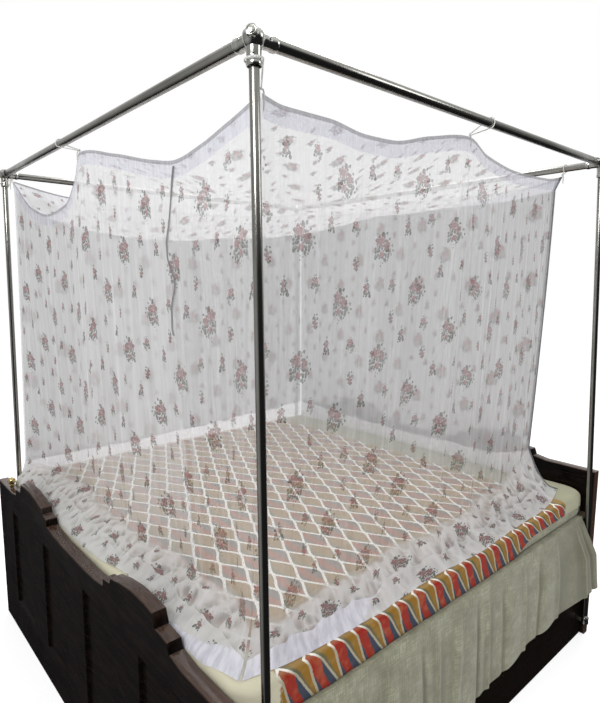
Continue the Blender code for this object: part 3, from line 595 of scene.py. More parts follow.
def cotton_material(name, colour, shade, light):
    """Plain woven cotton: crossing threads, slubs, and washed unevenness."""
    made, tree, shader = fresh_material(name)
    flat = cloth_place(tree)
    slubs = noise(cloth_place(tree, (260, 22, 1)), 1.0, 3.0)
    cross = noise(cloth_place(tree, (22, 260, 1)), 1.0, 3.0)
    washed = noise(flat, 11.0, 6.0, 0.72)
    both = between(slubs, 0.3, 0.7) * between(cross, 0.3, 0.7)
    base = blend(between(washed, 0.40, 0.62), colour, light)
    base = blend(between(both, 0.12, 0.45, 0.50, 0.0), base, shade)
    # A stored number darkens the cloth towards its shade colour: painted shade.
    painted_shade = Value(node(tree, "ShaderNodeAttribute", attribute_name="painted_shade"), "Fac")
    finish(
        shader, blend(painted_shade, base, shade), between(washed, 0.3, 0.7, 0.82, 0.95),
        woven(flat, COTTON_WEAVE) * 0.35 + both, 0.35, 0.0006,
        Sheen_Weight=0.25, Sheen_Roughness=0.5,
    )
    return made


def round_outline(half_x, half_y, corner, steps):
    """Points round a rectangle with round corners, and the way out at each."""
    runs = [2 * (half_x - corner), 2 * (half_y - corner)] * 2
    arc = math.pi / 2 * corner
    total = sum(runs) + 4 * arc
    found = []
    for i in range(steps):
        left = total * i / steps
        for k, (run, centre) in enumerate(zip(runs, [(1, -1), (1, 1), (-1, 1), (-1, -1)])):
            if left <= run + arc:
                break
            left -= run + arc
        start = (k - 1) * math.pi / 2
        short = max(0.0, run - left)
        turn = start + max(0.0, left - run) / corner
        x = centre[0] * (half_x - corner) + math.cos(turn) * corner + math.sin(start) * short
        y = centre[1] * (half_y - corner) + math.sin(turn) * corner - math.cos(start) * short
        found.append((x, y, math.cos(turn), math.sin(turn)))
    return np.array(found)


def soft_block(name, half, corner, levels, material, lift, steps=760):
    """Rings round a soft block from the middle of its top down its sides.

    Levels are how far in from the outline and at what height each ring lies.
    """
    outline = round_outline(*half, corner, steps)
    points, flat, drop, before = [], [], 0.0, None
    for inset, height in levels:
        if inset > corner:
            shares = [1 - inset / length for length in half]
            x, y = outline[:, 0] * shares[0], outline[:, 1] * shares[1]
        else:
            x, y = (np.sign(at) * np.maximum(0, np.abs(at) - inset) for at in outline.T[:2])
        if before is not None and height < levels[0][1] - 0.0005:
            drop += math.hypot(before[0] - inset, before[1] - height)
        before = (inset, height)
        ring = np.column_stack([x, y, np.full(steps, height)])
        points.append(ring + lift(ring, outline))
        place = ring[:, :2] + outline[:, 2:] * drop
        flat.append(np.vstack([place, place[:1]]))
    return grid_mesh(name, points, flat, material, closed=True)


def block_levels(low, high, rounding, insets, bottom=()):
    """Rings across the top, over the rounded edge and down the side."""
    rows = [(inset, high) for inset in insets]
    for i in range(1, 7):
        angle = math.pi / 2 * i / 6
        inset, drop = rounding * (1 - math.sin(angle)), rounding * (1 - math.cos(angle))
        rows.append((inset, high - drop))
    side = high - rounding, low + 0.012
    rows += [(0.0, side[0] + (side[1] - side[0]) * i / 7) for i in range(1, 8)]
    return rows + [(inset, low + rise) for inset, rise in bottom]


def crown(ring, outline):
    """The side of a pad bulges a little between its two seams."""
    z = ring[:, 2]
    share = np.clip((z - MATTRESS_LOW) / (MATTRESS_HIGH - MATTRESS_LOW), 0, 1)
    out = MATTRESS_BULGE * np.sin(share * math.pi) * (z < MATTRESS_HIGH - 0.0005)
    return np.column_stack([outline[:, 2] * out, outline[:, 3] * out, np.zeros(len(ring))])


refinish("bed_base", ply_material())
cover = cotton_material("olive_cover", OLIVE, OLIVE_SHADE, OLIVE_LIGHT)
levels = block_levels(
    MATTRESS_LOW, MATTRESS_HIGH, MATTRESS_ROUND, [0.94, 0.60, 0.30, 0.12, 0.06, 0.03, 0.02],
    [(0.002, 0.005), (0.007, 0.001), (0.03, 0.0), (0.94, 0.0)],
)
mattress = soft_block(
    "mattress_pad", MATTRESS_HALF, MATTRESS_CORNER, levels, cover, crown, 380
)
stand_for(mattress, "ticking", "mattress")

# ---- knob ------------------------------------------------------------------------------
# A small worn brass knob, turned, on the foot board's crest beside the left post. It is
# screwed into the crest from above.

KNOB_PLACE = (-0.9785, 0.850, 0.6803)
BRASS = (0.62, 0.47, 0.22, 1)
BRASS_DULL = (0.34, 0.24, 0.11, 1)
KNOB_PROFILE = [
    (0.0098, 0), (0.01, 0.003), (0.0082, 0.0045), (0.0078, 0.008), (0.012, 0.011),
    (0.0162, 0.0165), (0.017, 0.023), (0.0158, 0.03), (0.012, 0.0355), (0.007, 0.0385),
    (0.0001, 0.0399),
]
brass = steel_material("worn_brass", BRASS, BRASS_DULL, 0.20, 0.42)
knob = turned("brass_knob", KNOB_PROFILE, KNOB_PLACE, (0, 0, 1), brass, 32)
stand_for(knob, "brass", "crest_knob")

# ---- under-sheet -----------------------------------------------------------------------
# Plain pale olive cotton laid across the base under the mattress, hanging down both long
# sides in soft upright folds. Its head end swings past the near post as a free corner.

SHEET_THICK = 0.0015
FLAP_SPREAD = 0.082
FLAP_LONG = 0.30
# Columns: along from the foot end, how far out it hangs, height of its hem.
SHEET_HANG = [
    (0.05, 0.0085, 0.16), (0.17, 0.0085, 0.16), (0.33, 0.02, 0.164), (0.48, 0.012, 0.168),
    (0.64, 0.026, 0.166), (0.8, 0.013, 0.17), (0.95, 0.024, 0.172), (1.1, 0.011, 0.184),
    (1.26, 0.027, 0.202), (1.4, 0.015, 0.214), (1.54, 0.03, 0.222), (1.66, 0.022, 0.228),
    (1.76, 0.04, 0.236), (1.83, 0.054, 0.244), (1.893, 0.066, 0.252),
]
# Narrow upright folds. Columns: along at the top, along at the hem, half width, stand.
SHEET_FOLDS = [
    (0.22, 0.2, 0.02, 0.005), (0.41, 0.43, 0.016, -0.004), (0.55, 0.56, 0.022, 0.006),
    (0.7, 0.72, 0.014, -0.005), (0.78, 0.79, 0.012, 0.005), (0.9, 0.88, 0.018, 0.005),
    (1.02, 1.03, 0.013, -0.005), (1.08, 1.1, 0.011, 0.006), (1.19, 1.2, 0.016, -0.004),
    (1.34, 1.36, 0.012, 0.005), (1.48, 1.47, 0.014, -0.004), (1.62, 1.64, 0.012, 0.004),
    (1.8, 1.82, 0.01, 0.006), (1.85, 1.87, 0.007, -0.006),
]


def smooth_line(rows, column, at):
    """Values of a smooth line through a table's rows, with no bulge between two of them."""
    xs, ys = np.array([(row[0], row[column]) for row in rows], float).T
    spans = np.diff(xs)
    rises = np.diff(ys) / spans
    slopes = np.zeros(len(xs))
    for k, (before, after) in enumerate(zip(rises, rises[1:]), 1):
        if before * after > 0:
            slopes[k] = 2 * before * after / (before + after)
    slopes[0], slopes[-1] = rises[0], rises[-1]
    i = np.clip(np.searchsorted(xs, at) - 1, 0, len(xs) - 2)
    t = (at - xs[i]) / spans[i]
    return (
        ys[i] * (2 * t**3 - 3 * t**2 + 1)
        + ys[i + 1] * (3 * t**2 - 2 * t**3)
        + spans[i] * slopes[i] * (t**3 - 2 * t**2 + t)
        + spans[i] * slopes[i + 1] * (t**3 - t**2)
    )


def smooth_noise(x, y, seed):
    """Soft unevenness from about -1 to 1 over a plane, the same each time."""
    angles = np.random.RandomState(seed).uniform(0, 2 * math.pi, (64, 64))
    x, y = np.broadcast_arrays(np.asarray(x, float), np.asarray(y, float))
    xi, yi = np.floor(x).astype(int), np.floor(y).astype(int)
    fx, fy = x - xi, y - yi
    sx, sy = fx * fx * (3 - 2 * fx), fy * fy * (3 - 2 * fy)

    def corner_value(dx, dy):
        """Slope of the unevenness carried from one corner of the grid."""
        angle = angles[(xi + dx) % 64, (yi + dy) % 64]
        return np.cos(angle) * (fx - dx) + np.sin(angle) * (fy - dy)

    low = corner_value(0, 0) * (1 - sx) + corner_value(1, 0) * sx
    high = corner_value(0, 1) * (1 - sx) + corner_value(1, 1) * sx
    return 1.4 * (low * (1 - sy) + high * sy)


def sheet_rows(along):
    """Rows of points over the sheet from under the mattress to its near hem."""
    out, hem = smooth_line(SHEET_HANG, 1, along), smooth_line(SHEET_HANG, 2, along)
    edge = BED_WIDTH / 2
    rest = BASE_TOP + 0.0003 + SHEET_THICK / 2
    near_end = np.clip((along - (SHEET_HANG[-1][0] - FLAP_LONG)) / FLAP_LONG, 0, None) ** 2
    # Columns: how far out from the bed's edge, height, as the sheet turns over the edge.
    over = [
        (-0.30, rest), (-0.080, rest), (-0.007, rest), (-0.002, rest + 0.0016),
        (0.002, rest + 0.0020), (0.0046, BASE_TOP - 0.001), (0.0056, BASE_TOP - 0.007),
    ]
    rows = [(along, np.full_like(along, edge + y), np.full_like(along, z)) for y, z in over]
    top = BASE_TOP - 0.012
    for share in np.linspace(0, 1, 46):
        height = top - share * (top - hem)
        away = 0.0060 + (out - 0.0060) * min(1.0, share * 2.2) ** 0.8
        for top_at, hem_at, half_width, stand in SHEET_FOLDS:
            off = (along - top_at - (hem_at - top_at) * share) / half_width
            away = away + 1.5 * stand * min(1, share * 3) * np.exp(-(off**2))
        away = away + 0.0016 * share * smooth_noise(along * 16, share * 3 + 5, 3)
        swing = near_end * FLAP_SPREAD * max(0.0, share - 0.16)
        ruffle = 0.0025 * smooth_noise(along * 9, 2.5, 8) * share
        rows.append((along + swing, edge + np.maximum(away, 0.0045), height + ruffle))
    return rows


def run_down(points):
    """Distance down a line of points from its first."""
    steps = np.linalg.norm(np.diff(points, axis=0), axis=1)
    return np.concatenate([[0], np.cumsum(steps)])


def make_sheet():
    """The sheet's points from its far hem to its near hem, and its flat map."""
    along = np.linspace(SHEET_HANG[0][0], SHEET_HANG[-1][0], 420)
    rows = sheet_rows(along)
    points = [np.column_stack([x - BED_LENGTH / 2, y, z]) for x, y, z in reversed(rows)]
    points += [np.column_stack([x - BED_LENGTH / 2, -y, z]) for x, y, z in rows]
    points = np.array(points)
    down = run_down(points[:, len(along) // 2])
    return points, np.stack(np.meshgrid(along, down), axis=-1), down[-1]


def softened(values, reach, axes=(0, 1)):
    """Values on a grid evened out over a reach of places each way."""
    for axis in axes:
        pad = [(reach, reach) if i == axis else (0, 0) for i in (0, 1)]
        total = np.cumsum(np.pad(values, pad, mode="edge"), axis=axis)
        total = np.insert(total, 0, 0, axis=axis)
        size, n = 2 * reach + 1, values.shape[axis]
        high = np.take(total, range(size, size + n), axis=axis)
        values = (high - np.take(total, range(0, n), axis=axis)) / size
    return values


def store(piece, name, values):
    """Stores a number at each of a piece's points, for its material to read."""
    layer = piece.data.attributes.new(name, "FLOAT", "POINT")
    layer.data.foreach_set("value", np.ascontiguousarray(values).reshape(-1))


def sheet_shade(points):
    """Painted shade on the sheet: between folds, low down, and on its loose corner."""
    x, y, z = np.moveaxis(points, 2, 0)
    sunk = np.clip((softened(np.abs(y), 9, (1,)) - np.abs(y)) * 190, 0, 0.75)
    low = np.clip((BASE_TOP - z) / 0.45, 0, 1) * 0.30 * np.clip(1.2 - (x + 0.9) / 1.6, 0, 1)
    # The loose corner turns away from the light: painted shade.
    turned_off = np.clip((x - 0.45) / 0.40, 0, 1) * 0.70 * (z < BASE_TOP)
    return np.clip(sunk + low + turned_off, 0, 0.9)


sheet_points, sheet_flat, sheet_long = make_sheet()
under_cloth = cotton_material("olive_sheeting", OLIVE, OLIVE_SHADE, OLIVE_LIGHT)
under_sheet = grid_mesh("olive_under_sheet", sheet_points, sheet_flat, under_cloth)
store(under_sheet, "painted_shade", sheet_shade(sheet_points))
stand_for(under_sheet, "olive_cotton", "under_sheet")

# ---- bedspread -------------------------------------------------------------------------
# Cotton printed with rows of pointed ovals in red, ochre and slate on cream, fitted over
# the mattress and sewn at its corners. Near the head its side rides up and shows the
# olive cover below it.

SPREAD_HALF = (0.9535, 0.9555)
SPREAD_CORNER = 0.0795
SPREAD_LOW = 0.5924
SPREAD_TOP = 0.6988
SPREAD_ROUND = 0.0225
OVAL_ACROSS = 0.0885
OVAL_LONG = 0.172
OVAL_START = (-0.7405, -1.0086)
PRINT_WEAVE = 1700.0
# The lines are whiter on top than down the side, and the top is paler: painted light.
CREAM = (0.37, 0.335, 0.25, 1)
CREAM_TOP_LIT = (0.95, 0.93, 0.86, 1)
RED = (0.290, 0.022, 0.012, 1)
RED_LIGHT = (0.33, 0.075, 0.032, 1)
OCHRE = (0.255, 0.130, 0.015, 1)
OCHRE_LIGHT = (0.29, 0.165, 0.038, 1)
SLATE = (0.042, 0.053, 0.080, 1)
MOSS = (0.115, 0.110, 0.060, 1)
TOP_PAINTED_LIGHT = (0.66, 0.52, 0.30, 1)
# The print stops short of both ends, which are plain.
PRINT_FROM = -0.845
PRINT_TO = 0.735
PLAIN_FOOT = (0.60, 0.57, 0.43, 1)
PLAIN_HEAD = (0.37, 0.365, 0.26, 1)


def oval_print():
    """Two interlocked rows of pointed ovals with cream lines between, edges feathered."""
    made, tree, shader = fresh_material("oval_print")
    flat = cloth_place(tree)
    feather = noise(cloth_place(tree, (300, 60, 1)), 1.0, 2.0)
    fray = feather * 0.34 - 0.17
    x, y, _ = split(flat)
    # Down the near side the cloth was pulled askew, so the rows lean and stretch there.
    over = sums("MAXIMUM", y * -1.0 - SPREAD_HALF[1], 0.0)
    across = noise(flat, 6.0, 2.0) * 0.012 + (over * -0.50 + x)
    across = (across - OVAL_START[0]) / OVAL_ACROSS
    along = (over * 0.74 + y - OVAL_START[1]) / OVAL_LONG
    red_side = sums("FRACT", across + 0.5) * 2.0 + (fray - 1.0)
    ochre_side = sums("FRACT", across) * 2.0 + (fray - 1.0)
    point = sums("PINGPONG", along, 0.5) * -1.0 + 0.75
    width = sums("COSINE", along * (2 * math.pi)) * 0.25 + point
    gap = width - sums("PINGPONG", across, 0.5) * 2.0
    depth = sums("ABSOLUTE", gap) + fray * 0.35
    rim = between(depth - between(over, 0.0, 0.02, 0.105, 0.070), 0.0, 0.035)
    right_edge = sums("MAXIMUM", width * -1.2 + 0.95, 0.16)
    left_edge = sums("MINIMUM", width - 1.12, -0.46)
    flanks = [between(red_side - right_edge, -0.04, 0.04)]
    flanks.append(between(left_edge - red_side, -0.04, 0.04))
    tip = between(noise(flat, 19.0, 2.0), 0.50, 0.64)
    red = blend(sums("MAXIMUM", *flanks), blend(tip, RED, RED_LIGHT), SLATE)
    mossy = between(width * 0.45 - 0.42 - ochre_side, -0.06, 0.06)
    ochre = blend(mossy, blend(tip, OCHRE, OCHRE_LIGHT), MOSS)
    colour = blend(between(gap, -0.01, 0.01), ochre, red)
    # The top is blended paler than the side: painted light.
    colour = blend(between(over, 0.0, 0.02, 0.26, 0.0), colour, TOP_PAINTED_LIGHT)
    # Lines whiter on top than down the side: painted light and shade.
    line = blend(between(over, 0.0, 0.03), CREAM_TOP_LIT, CREAM)
    colour = blend(rim, line, colour)
    rough_edge = fray * 0.08 + x
    foot_end = between(rough_edge, PRINT_FROM - 0.004, PRINT_FROM + 0.004, 1.0, 0.0)
    colour = blend(foot_end, colour, PLAIN_FOOT)
    colour = blend(between(rough_edge, PRINT_TO - 0.006, PRINT_TO + 0.006), colour, PLAIN_HEAD)
    washed = noise(flat, 60.0, 3.0)
    colour = blend(between(washed, 0.45, 0.75, 0.0, 0.05), colour, CREAM)
    finish(
        shader, colour, between(washed, 0.3, 0.7, 0.80, 0.95),
        woven(flat, PRINT_WEAVE) * 0.3 + feather, 0.3, 0.0006,
        Specular_IOR_Level=0.12, Sheen_Weight=0.05,
    )
    return made


def spread_lift(ring, outline):
    """Slack in the spread: dimples on top, pulls down the side, a hem that rides up."""
    x, y, z = ring.T
    side = np.clip((SPREAD_TOP - z - 0.004) / 0.03, 0, 1)
    run = x * outline[:, 3] - y * outline[:, 2]
    out = 0.0016 * smooth_noise(run * 24, z * 30, 11) * side
    out += 0.0022 * smooth_noise(run * 7, z * 9 + 4, 12) * side
    out = np.clip(out, -0.0012, 0.0045)
    up = 0.0008 * smooth_noise(x * 9, y * 9, 13) * (1 - side) - 0.0008 * (1 - side)
    near_head = np.clip((x - 0.26) / 0.20, 0, 1) * (outline[:, 3] < -0.9)
    ease = near_head * near_head * (3 - 2 * near_head)
    level = np.clip((SPREAD_TOP - z) / (SPREAD_TOP - SPREAD_LOW), 0, 1)
    up += 0.044 * ease * level**1.5 * side
    hem = np.clip((level - 0.7) / 0.3, 0, 1)
    up += 0.0015 * smooth_noise(run * 14, 7.0, 14) * hem + 0.0012 * hem
    return np.column_stack([outline[:, 2] * out, outline[:, 3] * out, up])


levels = block_levels(
    SPREAD_LOW - 0.012, SPREAD_TOP, SPREAD_ROUND,
    [0.94, 0.85, 0.76, 0.67, 0.58, 0.49, 0.40, 0.32, 0.25, 0.19, 0.14, 0.10, 0.08, 0.06]
    + [0.045, 0.034, 0.026],
)
spread = soft_block(
    "oval_bedspread", SPREAD_HALF, SPREAD_CORNER, levels, oval_print(), spread_lift
)
stand_for(spread, "printed_cotton", "bedspread")

# ---- the net's shape -------------------------------------------------------------------
# Four walls hang from a top edge that sags between the six ties, come in a little as they
# fall, and turn out again at the knee to lie bunched on the bed as far as the hem.

NET_FLOOR = 0.0015
HEADING_DEPTH = 0.045
CORNER_HALF = 0.005
SEAM_GAP = 0.0005
NEVER = 10000  # a row past a wall's last
SIDES = ["near", "head", "far", "foot"]
# Columns: name, top (x, y, z), knee (x, y, z), hem (x, y), from the bed's near foot corner.
CORNERS = [
    ("near", (0.135, 0.045, 2.02), (0.15, 0.12, 0.775), (0.074, 0.06)),
    ("right", (1.88, 0.2, 2.074), (1.8, 0.212, 0.88), (1.862, 0.098)),
    ("far", (1.87, 1.87, 2.07), (1.868, 1.862, 0.785), (1.885, 1.89)),
    ("left", (0.125, 1.86, 2.072), (0.098, 1.862, 0.775), (0.066, 1.878)),
]
# How far each corner's tie pulls it. Columns: along the bed, across it, up.
CORNER_PULLS = {
    "near": (-0.004, -0.003, 0.004),
    "right": (0.000, -0.027, 0.010),
    "far": (0.008, 0.014, 0.006),
    "left": (-0.003, 0.016, 0.006),
}
PULL_REACH = 0.100
TIE_ALONG = {"near": 0.96, "head": 1.03, "far": 1.00, "foot": 1.04}
# Top edges between the corners. Columns: along, inset, height.
TOP_EDGES = {
    "near": [
        (0.2, 0.046, 2.011), (0.34, 0.049, 2.012), (0.47, 0.052, 1.999), (0.58, 0.055, 2.003),
        (0.75, 0.058, 2.042), (0.96, 0.062, 2.076), (1.1, 0.081, 2.045), (1.31, 0.111, 2.033),
        (1.6, 0.16, 2.05),
    ],
    "head": [
        (0.45, 0.135, 2.048), (0.75, 0.142, 2.046), (1.03, 0.135, 2.062), (1.35, 0.145, 2.03),
        (1.65, 0.14, 2.04),
    ],
    "far": [
        (0.35, 0.07, 2.03), (0.7, 0.078, 2.004), (1, 0.075, 2.004), (1.35, 0.078, 2.014),
        (1.65, 0.068, 2.035),
    ],
    "foot": [
        (0.155, 0.128, 1.988), (0.265, 0.124, 1.958), (0.385, 0.122, 1.94),
        (0.5, 0.122, 1.957), (0.75, 0.124, 2.014), (1.04, 0.122, 2.066), (1.11, 0.128, 1.99),
        (1.25, 0.136, 1.912), (1.45, 0.14, 1.896), (1.65, 0.134, 1.94),
    ],
}
# Knee and hem between the corners. Columns: along, knee inset, knee height, hem inset.
FLOOR_EDGES = {
    "near": [
        (0.25, 0.118, 0.77, 0.034), (0.52, 0.128, 0.775, 0.026), (0.8, 0.138, 0.785, 0.034),
        (1.05, 0.136, 0.78, 0.024), (1.28, 0.162, 0.79, 0.031), (1.57, 0.174, 0.815, 0.038),
    ],
    "head": [
        (0.45, 0.15, 0.8, 0.112), (0.95, 0.135, 0.785, 0.1), (1.45, 0.13, 0.78, 0.104),
    ],
    "far": [
        (0.45, 0.088, 0.776, 0.056), (1, 0.08, 0.774, 0.05), (1.55, 0.076, 0.78, 0.048),
    ],
    "foot": [
        (0.28, 0.196, 0.775, 0.07), (0.46, 0.2, 0.77, 0.082), (0.68, 0.182, 0.776, 0.098),
        (0.85, 0.164, 0.77, 0.074), (1.1, 0.178, 0.772, 0.068), (1.4, 0.192, 0.776, 0.072),
        (1.66, 0.168, 0.772, 0.066),
    ],
}
# Main folds. Columns: along at the top, along at the knee, half width, stand at the knee.
FOLDS = {
    "near": [
        (0.29, 0.24, 0.045, 0.016), (0.42, 0.41, 0.034, -0.014), (0.57, 0.56, 0.04, 0.02),
        (0.77, 0.72, 0.042, -0.013), (0.95, 0.9, 0.046, 0.021), (1.06, 1.02, 0.034, -0.016),
        (1.16, 1.14, 0.036, 0.015), (1.33, 1.27, 0.04, -0.017), (1.46, 1.42, 0.036, 0.019),
        (1.62, 1.59, 0.04, -0.012),
    ],
    "head": [
        (0.42, 0.45, 0.05, -0.012), (0.66, 0.68, 0.055, 0.014), (0.92, 0.9, 0.045, -0.012),
        (1.18, 1.15, 0.05, 0.015), (1.4, 1.42, 0.05, -0.012), (1.65, 1.66, 0.045, 0.01),
    ],
    "far": [
        (0.34, 0.38, 0.05, 0.01), (0.62, 0.62, 0.05, -0.013), (0.88, 0.9, 0.055, 0.012),
        (1.16, 1.12, 0.05, -0.012), (1.44, 1.4, 0.05, 0.013), (1.66, 1.66, 0.045, -0.01),
    ],
    "foot": [
        (0.24, 0.26, 0.038, -0.012), (0.4, 0.42, 0.04, 0.014), (0.58, 0.58, 0.042, -0.014),
        (0.76, 0.74, 0.04, 0.015), (0.95, 0.92, 0.042, -0.013), (1.1, 1.12, 0.04, 0.016),
        (1.25, 1.3, 0.042, -0.015), (1.42, 1.48, 0.04, 0.014), (1.6, 1.64, 0.04, -0.011),
    ],
}
# Narrow creases that fan down from the ties and gathers. Columns: along at the top, along
# at the bottom, half width, stand, share of the way down where it starts, where it ends.
CREASES = {
    "near": [
        (0.165, 0.19, 0.007, 0.004, 0, 0.75), (0.195, 0.27, 0.008, -0.004, 0, 0.55),
        (0.24, 0.33, 0.007, 0.003, 0, 0.8), (0.3, 0.36, 0.008, 0.003, 0, 0.6),
        (0.5, 0.485, 0.009, -0.004, 0, 1), (0.64, 0.64, 0.008, 0.004, 0.1, 1),
        (0.93, 0.8, 0.008, 0.005, 0, 0.7), (0.945, 0.86, 0.007, -0.005, 0, 0.9),
        (0.958, 0.94, 0.007, 0.005, 0, 1), (0.972, 1.01, 0.008, -0.005, 0, 0.8),
        (0.985, 1.09, 0.008, 0.005, 0, 0.7), (1.17, 1.13, 0.009, -0.009, 0, 1),
        (1.21, 1.175, 0.007, 0.005, 0.05, 1), (1.3, 1.18, 0.008, 0.005, 0.45, 1),
        (1.48, 1.3, 0.008, 0.006, 0.45, 1), (1.52, 1.37, 0.008, -0.005, 0.4, 1),
        (1.6, 1.45, 0.007, 0.004, 0.3, 1), (1.75, 1.64, 0.01, 0.005, 0, 1),
        (1.83, 1.7, 0.01, -0.005, 0, 1),
    ],
    "foot": [
        (0.1, 0.18, 0.007, 0.005, 0, 0.8), (0.14, 0.24, 0.008, -0.005, 0, 0.6),
        (0.2, 0.33, 0.008, 0.004, 0, 0.7), (0.3, 0.29, 0.009, -0.005, 0.05, 1),
        (0.405, 0.415, 0.008, -0.008, 0, 1), (0.435, 0.45, 0.008, 0.006, 0, 1),
        (0.66, 0.64, 0.009, 0.004, 0.1, 1), (0.85, 0.82, 0.008, -0.004, 0.1, 1),
        (1.015, 0.9, 0.008, 0.005, 0, 0.8), (1.035, 1, 0.007, -0.005, 0, 0.9),
        (1.05, 1.09, 0.007, 0.005, 0, 1), (1.07, 1.18, 0.008, -0.005, 0, 0.8),
        (1.56, 1.5, 0.009, 0.005, 0.05, 1), (1.76, 1.66, 0.008, 0.005, 0, 0.7),
        (1.795, 1.715, 0.008, -0.006, 0, 0.85), (1.82, 1.77, 0.007, 0.006, 0, 0.9),
        (1.84, 1.81, 0.007, -0.005, 0, 1),
    ],
    "head": [
        (0.5, 0.52, 0.01, 0.004, 0, 1), (0.98, 0.9, 0.008, 0.005, 0, 0.8),
        (1.02, 1.01, 0.008, -0.005, 0, 0.9), (1.06, 1.12, 0.008, 0.005, 0, 0.8),
        (1.56, 1.54, 0.01, -0.004, 0, 1),
    ],
    "far": [
        (0.48, 0.5, 0.01, 0.004, 0, 1), (0.95, 0.9, 0.008, 0.005, 0, 0.8),
        (1.02, 1.03, 0.008, -0.005, 0, 0.9), (1.3, 1.32, 0.01, 0.004, 0, 1),
        (1.74, 1.7, 0.008, 0.005, 0, 0.9),
    ],
}
# Cloth taken up along the near wall. Columns: along as hung, along the cloth.
TAKEN_UP = [
    (0.11, -0.16), (0.265, 0), (0.56, 0.31), (0.906, 0.62), (1.231, 0.93), (1.475, 1.24),
    (1.7, 1.52), (1.9, 1.78),
]


def corner_row(name):
    """A corner's row of the table."""
    return next(row for row in CORNERS if row[0] == name)


def side_ends(side):
    """The two corners that a side runs between."""
    names = [row[0] for row in CORNERS]
    i = SIDES.index(side)
    return names[i], names[(i + 1) % 4]


def to_table(side, point):
    """Along and inset of a point that is given from the bed's near foot corner."""
    x, y = point[0], point[1]
    return {
        "near": (x, y),
        "head": (y, BED_LENGTH - x),
        "far": (x, BED_WIDTH - y),
        "foot": (y, x),
    }[side]


def to_part(side, along, inset, height):
    """Points in the part's frame, one row each."""
    along, inset, height = np.broadcast_arrays(along, inset, height)
    x, y = {
        "near": (along, inset),
        "head": (BED_LENGTH - inset, along),
        "far": (along, BED_WIDTH - inset),
        "foot": (inset, along),
    }[side]
    return np.stack([x - BED_LENGTH / 2, y - BED_WIDTH / 2, height], axis=-1)


def with_ends(side, table, level):
    """A side's table with a row for the corner at each of its ends."""
    rows = list(table)
    for name in side_ends(side):
        row = corner_row(name)
        ends = (*to_table(side, row[level]), row[level][2], to_table(side, row[3])[1])
        rows.append(ends[: len(table[0])])
    return sorted(rows)


def along_at(side, u, level):
    """Place along a side: 0 at its first corner, 0.5 at its middle tie, 1 at its last."""
    first, last = (to_table(side, corner_row(name)[level])[0] for name in side_ends(side))
    middle = TIE_ALONG[side]
    lower = first + (middle - first) * u * 2
    upper = middle + (last - middle) * (u - 0.5) * 2
    return np.where(u < 0.5, lower, upper)


def edge_points(side, u, level):
    """Points along a side's top edge, at level 1, or its knee, at level 2."""
    along = along_at(side, u, level)
    rows = with_ends(side, (TOP_EDGES if level == 1 else FLOOR_EDGES)[side], level)
    return to_part(side, along, smooth_line(rows, 1, along), smooth_line(rows, 2, along))


def hem_points(side, u):
    """Points along a side's hem, on the bedspread."""
    along = along_at(side, u, 3)
    rows = with_ends(side, FLOOR_EDGES[side], 2)
    table = [(row[0], row[3]) for row in rows[1:-1]]
    table += [to_table(side, corner_row(name)[3]) for name in side_ends(side)]
    return to_part(side, along, smooth_line(sorted(table), 1, along), SPREAD_TOP + NET_FLOOR)


def outwards(side, u, step=0.02):
    """Level directions out of the net at places along a side."""
    before, after = np.maximum(0.0, u - step), np.minimum(1.0, u + step)
    ahead = edge_points(side, after, 1) - edge_points(side, before, 1)
    out = np.stack([ahead[:, 1], -ahead[:, 0], np.zeros(len(u))], axis=-1)
    return out / np.linalg.norm(out, axis=1)[:, None]


def side_length(side):
    """Length of a side's top edge, as it hangs."""
    ends = along_at(side, np.array([0.0, 1.0]), 1)
    return abs(ends[1] - ends[0])


def folded(side, u, share):
    """How far the folds and creases push the wall out at a share of the way down."""
    along = along_at(side, u, 1) * (1 - share) + along_at(side, u, 2) * share
    main = np.zeros(len(u))
    for top_at, knee_at, half_width, stand in FOLDS[side]:
        at = top_at + (knee_at - top_at) * share
        main += stand * np.exp(-(((along - at) / half_width) ** 2))
    main *= (0.12 + 0.88 * share) * min(1.0, share / 0.1)
    fine = np.zeros(len(u))
    for top_at, low_at, half_width, stand, start, end in CREASES[side]:
        at = top_at + (low_at - top_at) * share
        fade = np.clip((share - start) / 0.12 + 0.25 * (start == 0), 0, 1)
        fade *= np.clip((end - share) / 0.20 + (end >= 1), 0, 1)
        fine += stand * fade * np.exp(-(((along - at) / (half_width * (0.7 + share))) ** 2))
    seed = 20 + SIDES.index(side)
    drift = 0.9 * smooth_noise(share * 2.5, 3.0, seed)
    fine += 0.0016 * smooth_noise(along * 24 + drift, share * 2.2, seed)
    fine += 0.0030 * share * smooth_noise(along * 12 + drift, share * 3.0, seed + 4)
    edge = np.minimum(1.0, np.minimum(u, 1 - u) / 0.05)
    return (main + fine * min(1.0, 0.15 + share / 0.08)) * edge


def pulled(side, u, drop):
    """How far the ties at a side's corners pull its heading."""
    total = np.zeros((len(u), 3))
    for name, away in zip(side_ends(side), (u, 1 - u)):
        felt = np.maximum(0.0, 1 - away * side_length(side) / PULL_REACH) ** 2
        total += felt[:, None] * np.array(CORNER_PULLS[name])
    return total * max(0.0, 1 - drop / HEADING_DEPTH)


def wall_points(side, u, drop, share):
    """Points drop metres below the top edge, then a share of the way to the knee."""
    top, knee = edge_points(side, u, 1), edge_points(side, u, 2)
    height = top[:, 2] - knee[:, 2]
    full = (drop + (height - drop) * share) / height
    place = top + (knee - top) * (full**1.4)[:, None]
    place[:, 2] = top[:, 2] - height * full
    return place + outwards(side, u) * folded(side, u, share)[:, None] + pulled(side, u, drop)


def smooth_stretch(side, x, y):
    """1 along the stretches where the hem lies smooth, near the near foot corner."""
    if side == "near":
        return np.clip((0.45 - (x + BED_LENGTH / 2)) / 0.08, 0, 1)
    if side == "foot":
        return np.clip((0.48 - (y + BED_WIDTH / 2)) / 0.08, 0, 1)
    return np.full_like(x, 0.6)


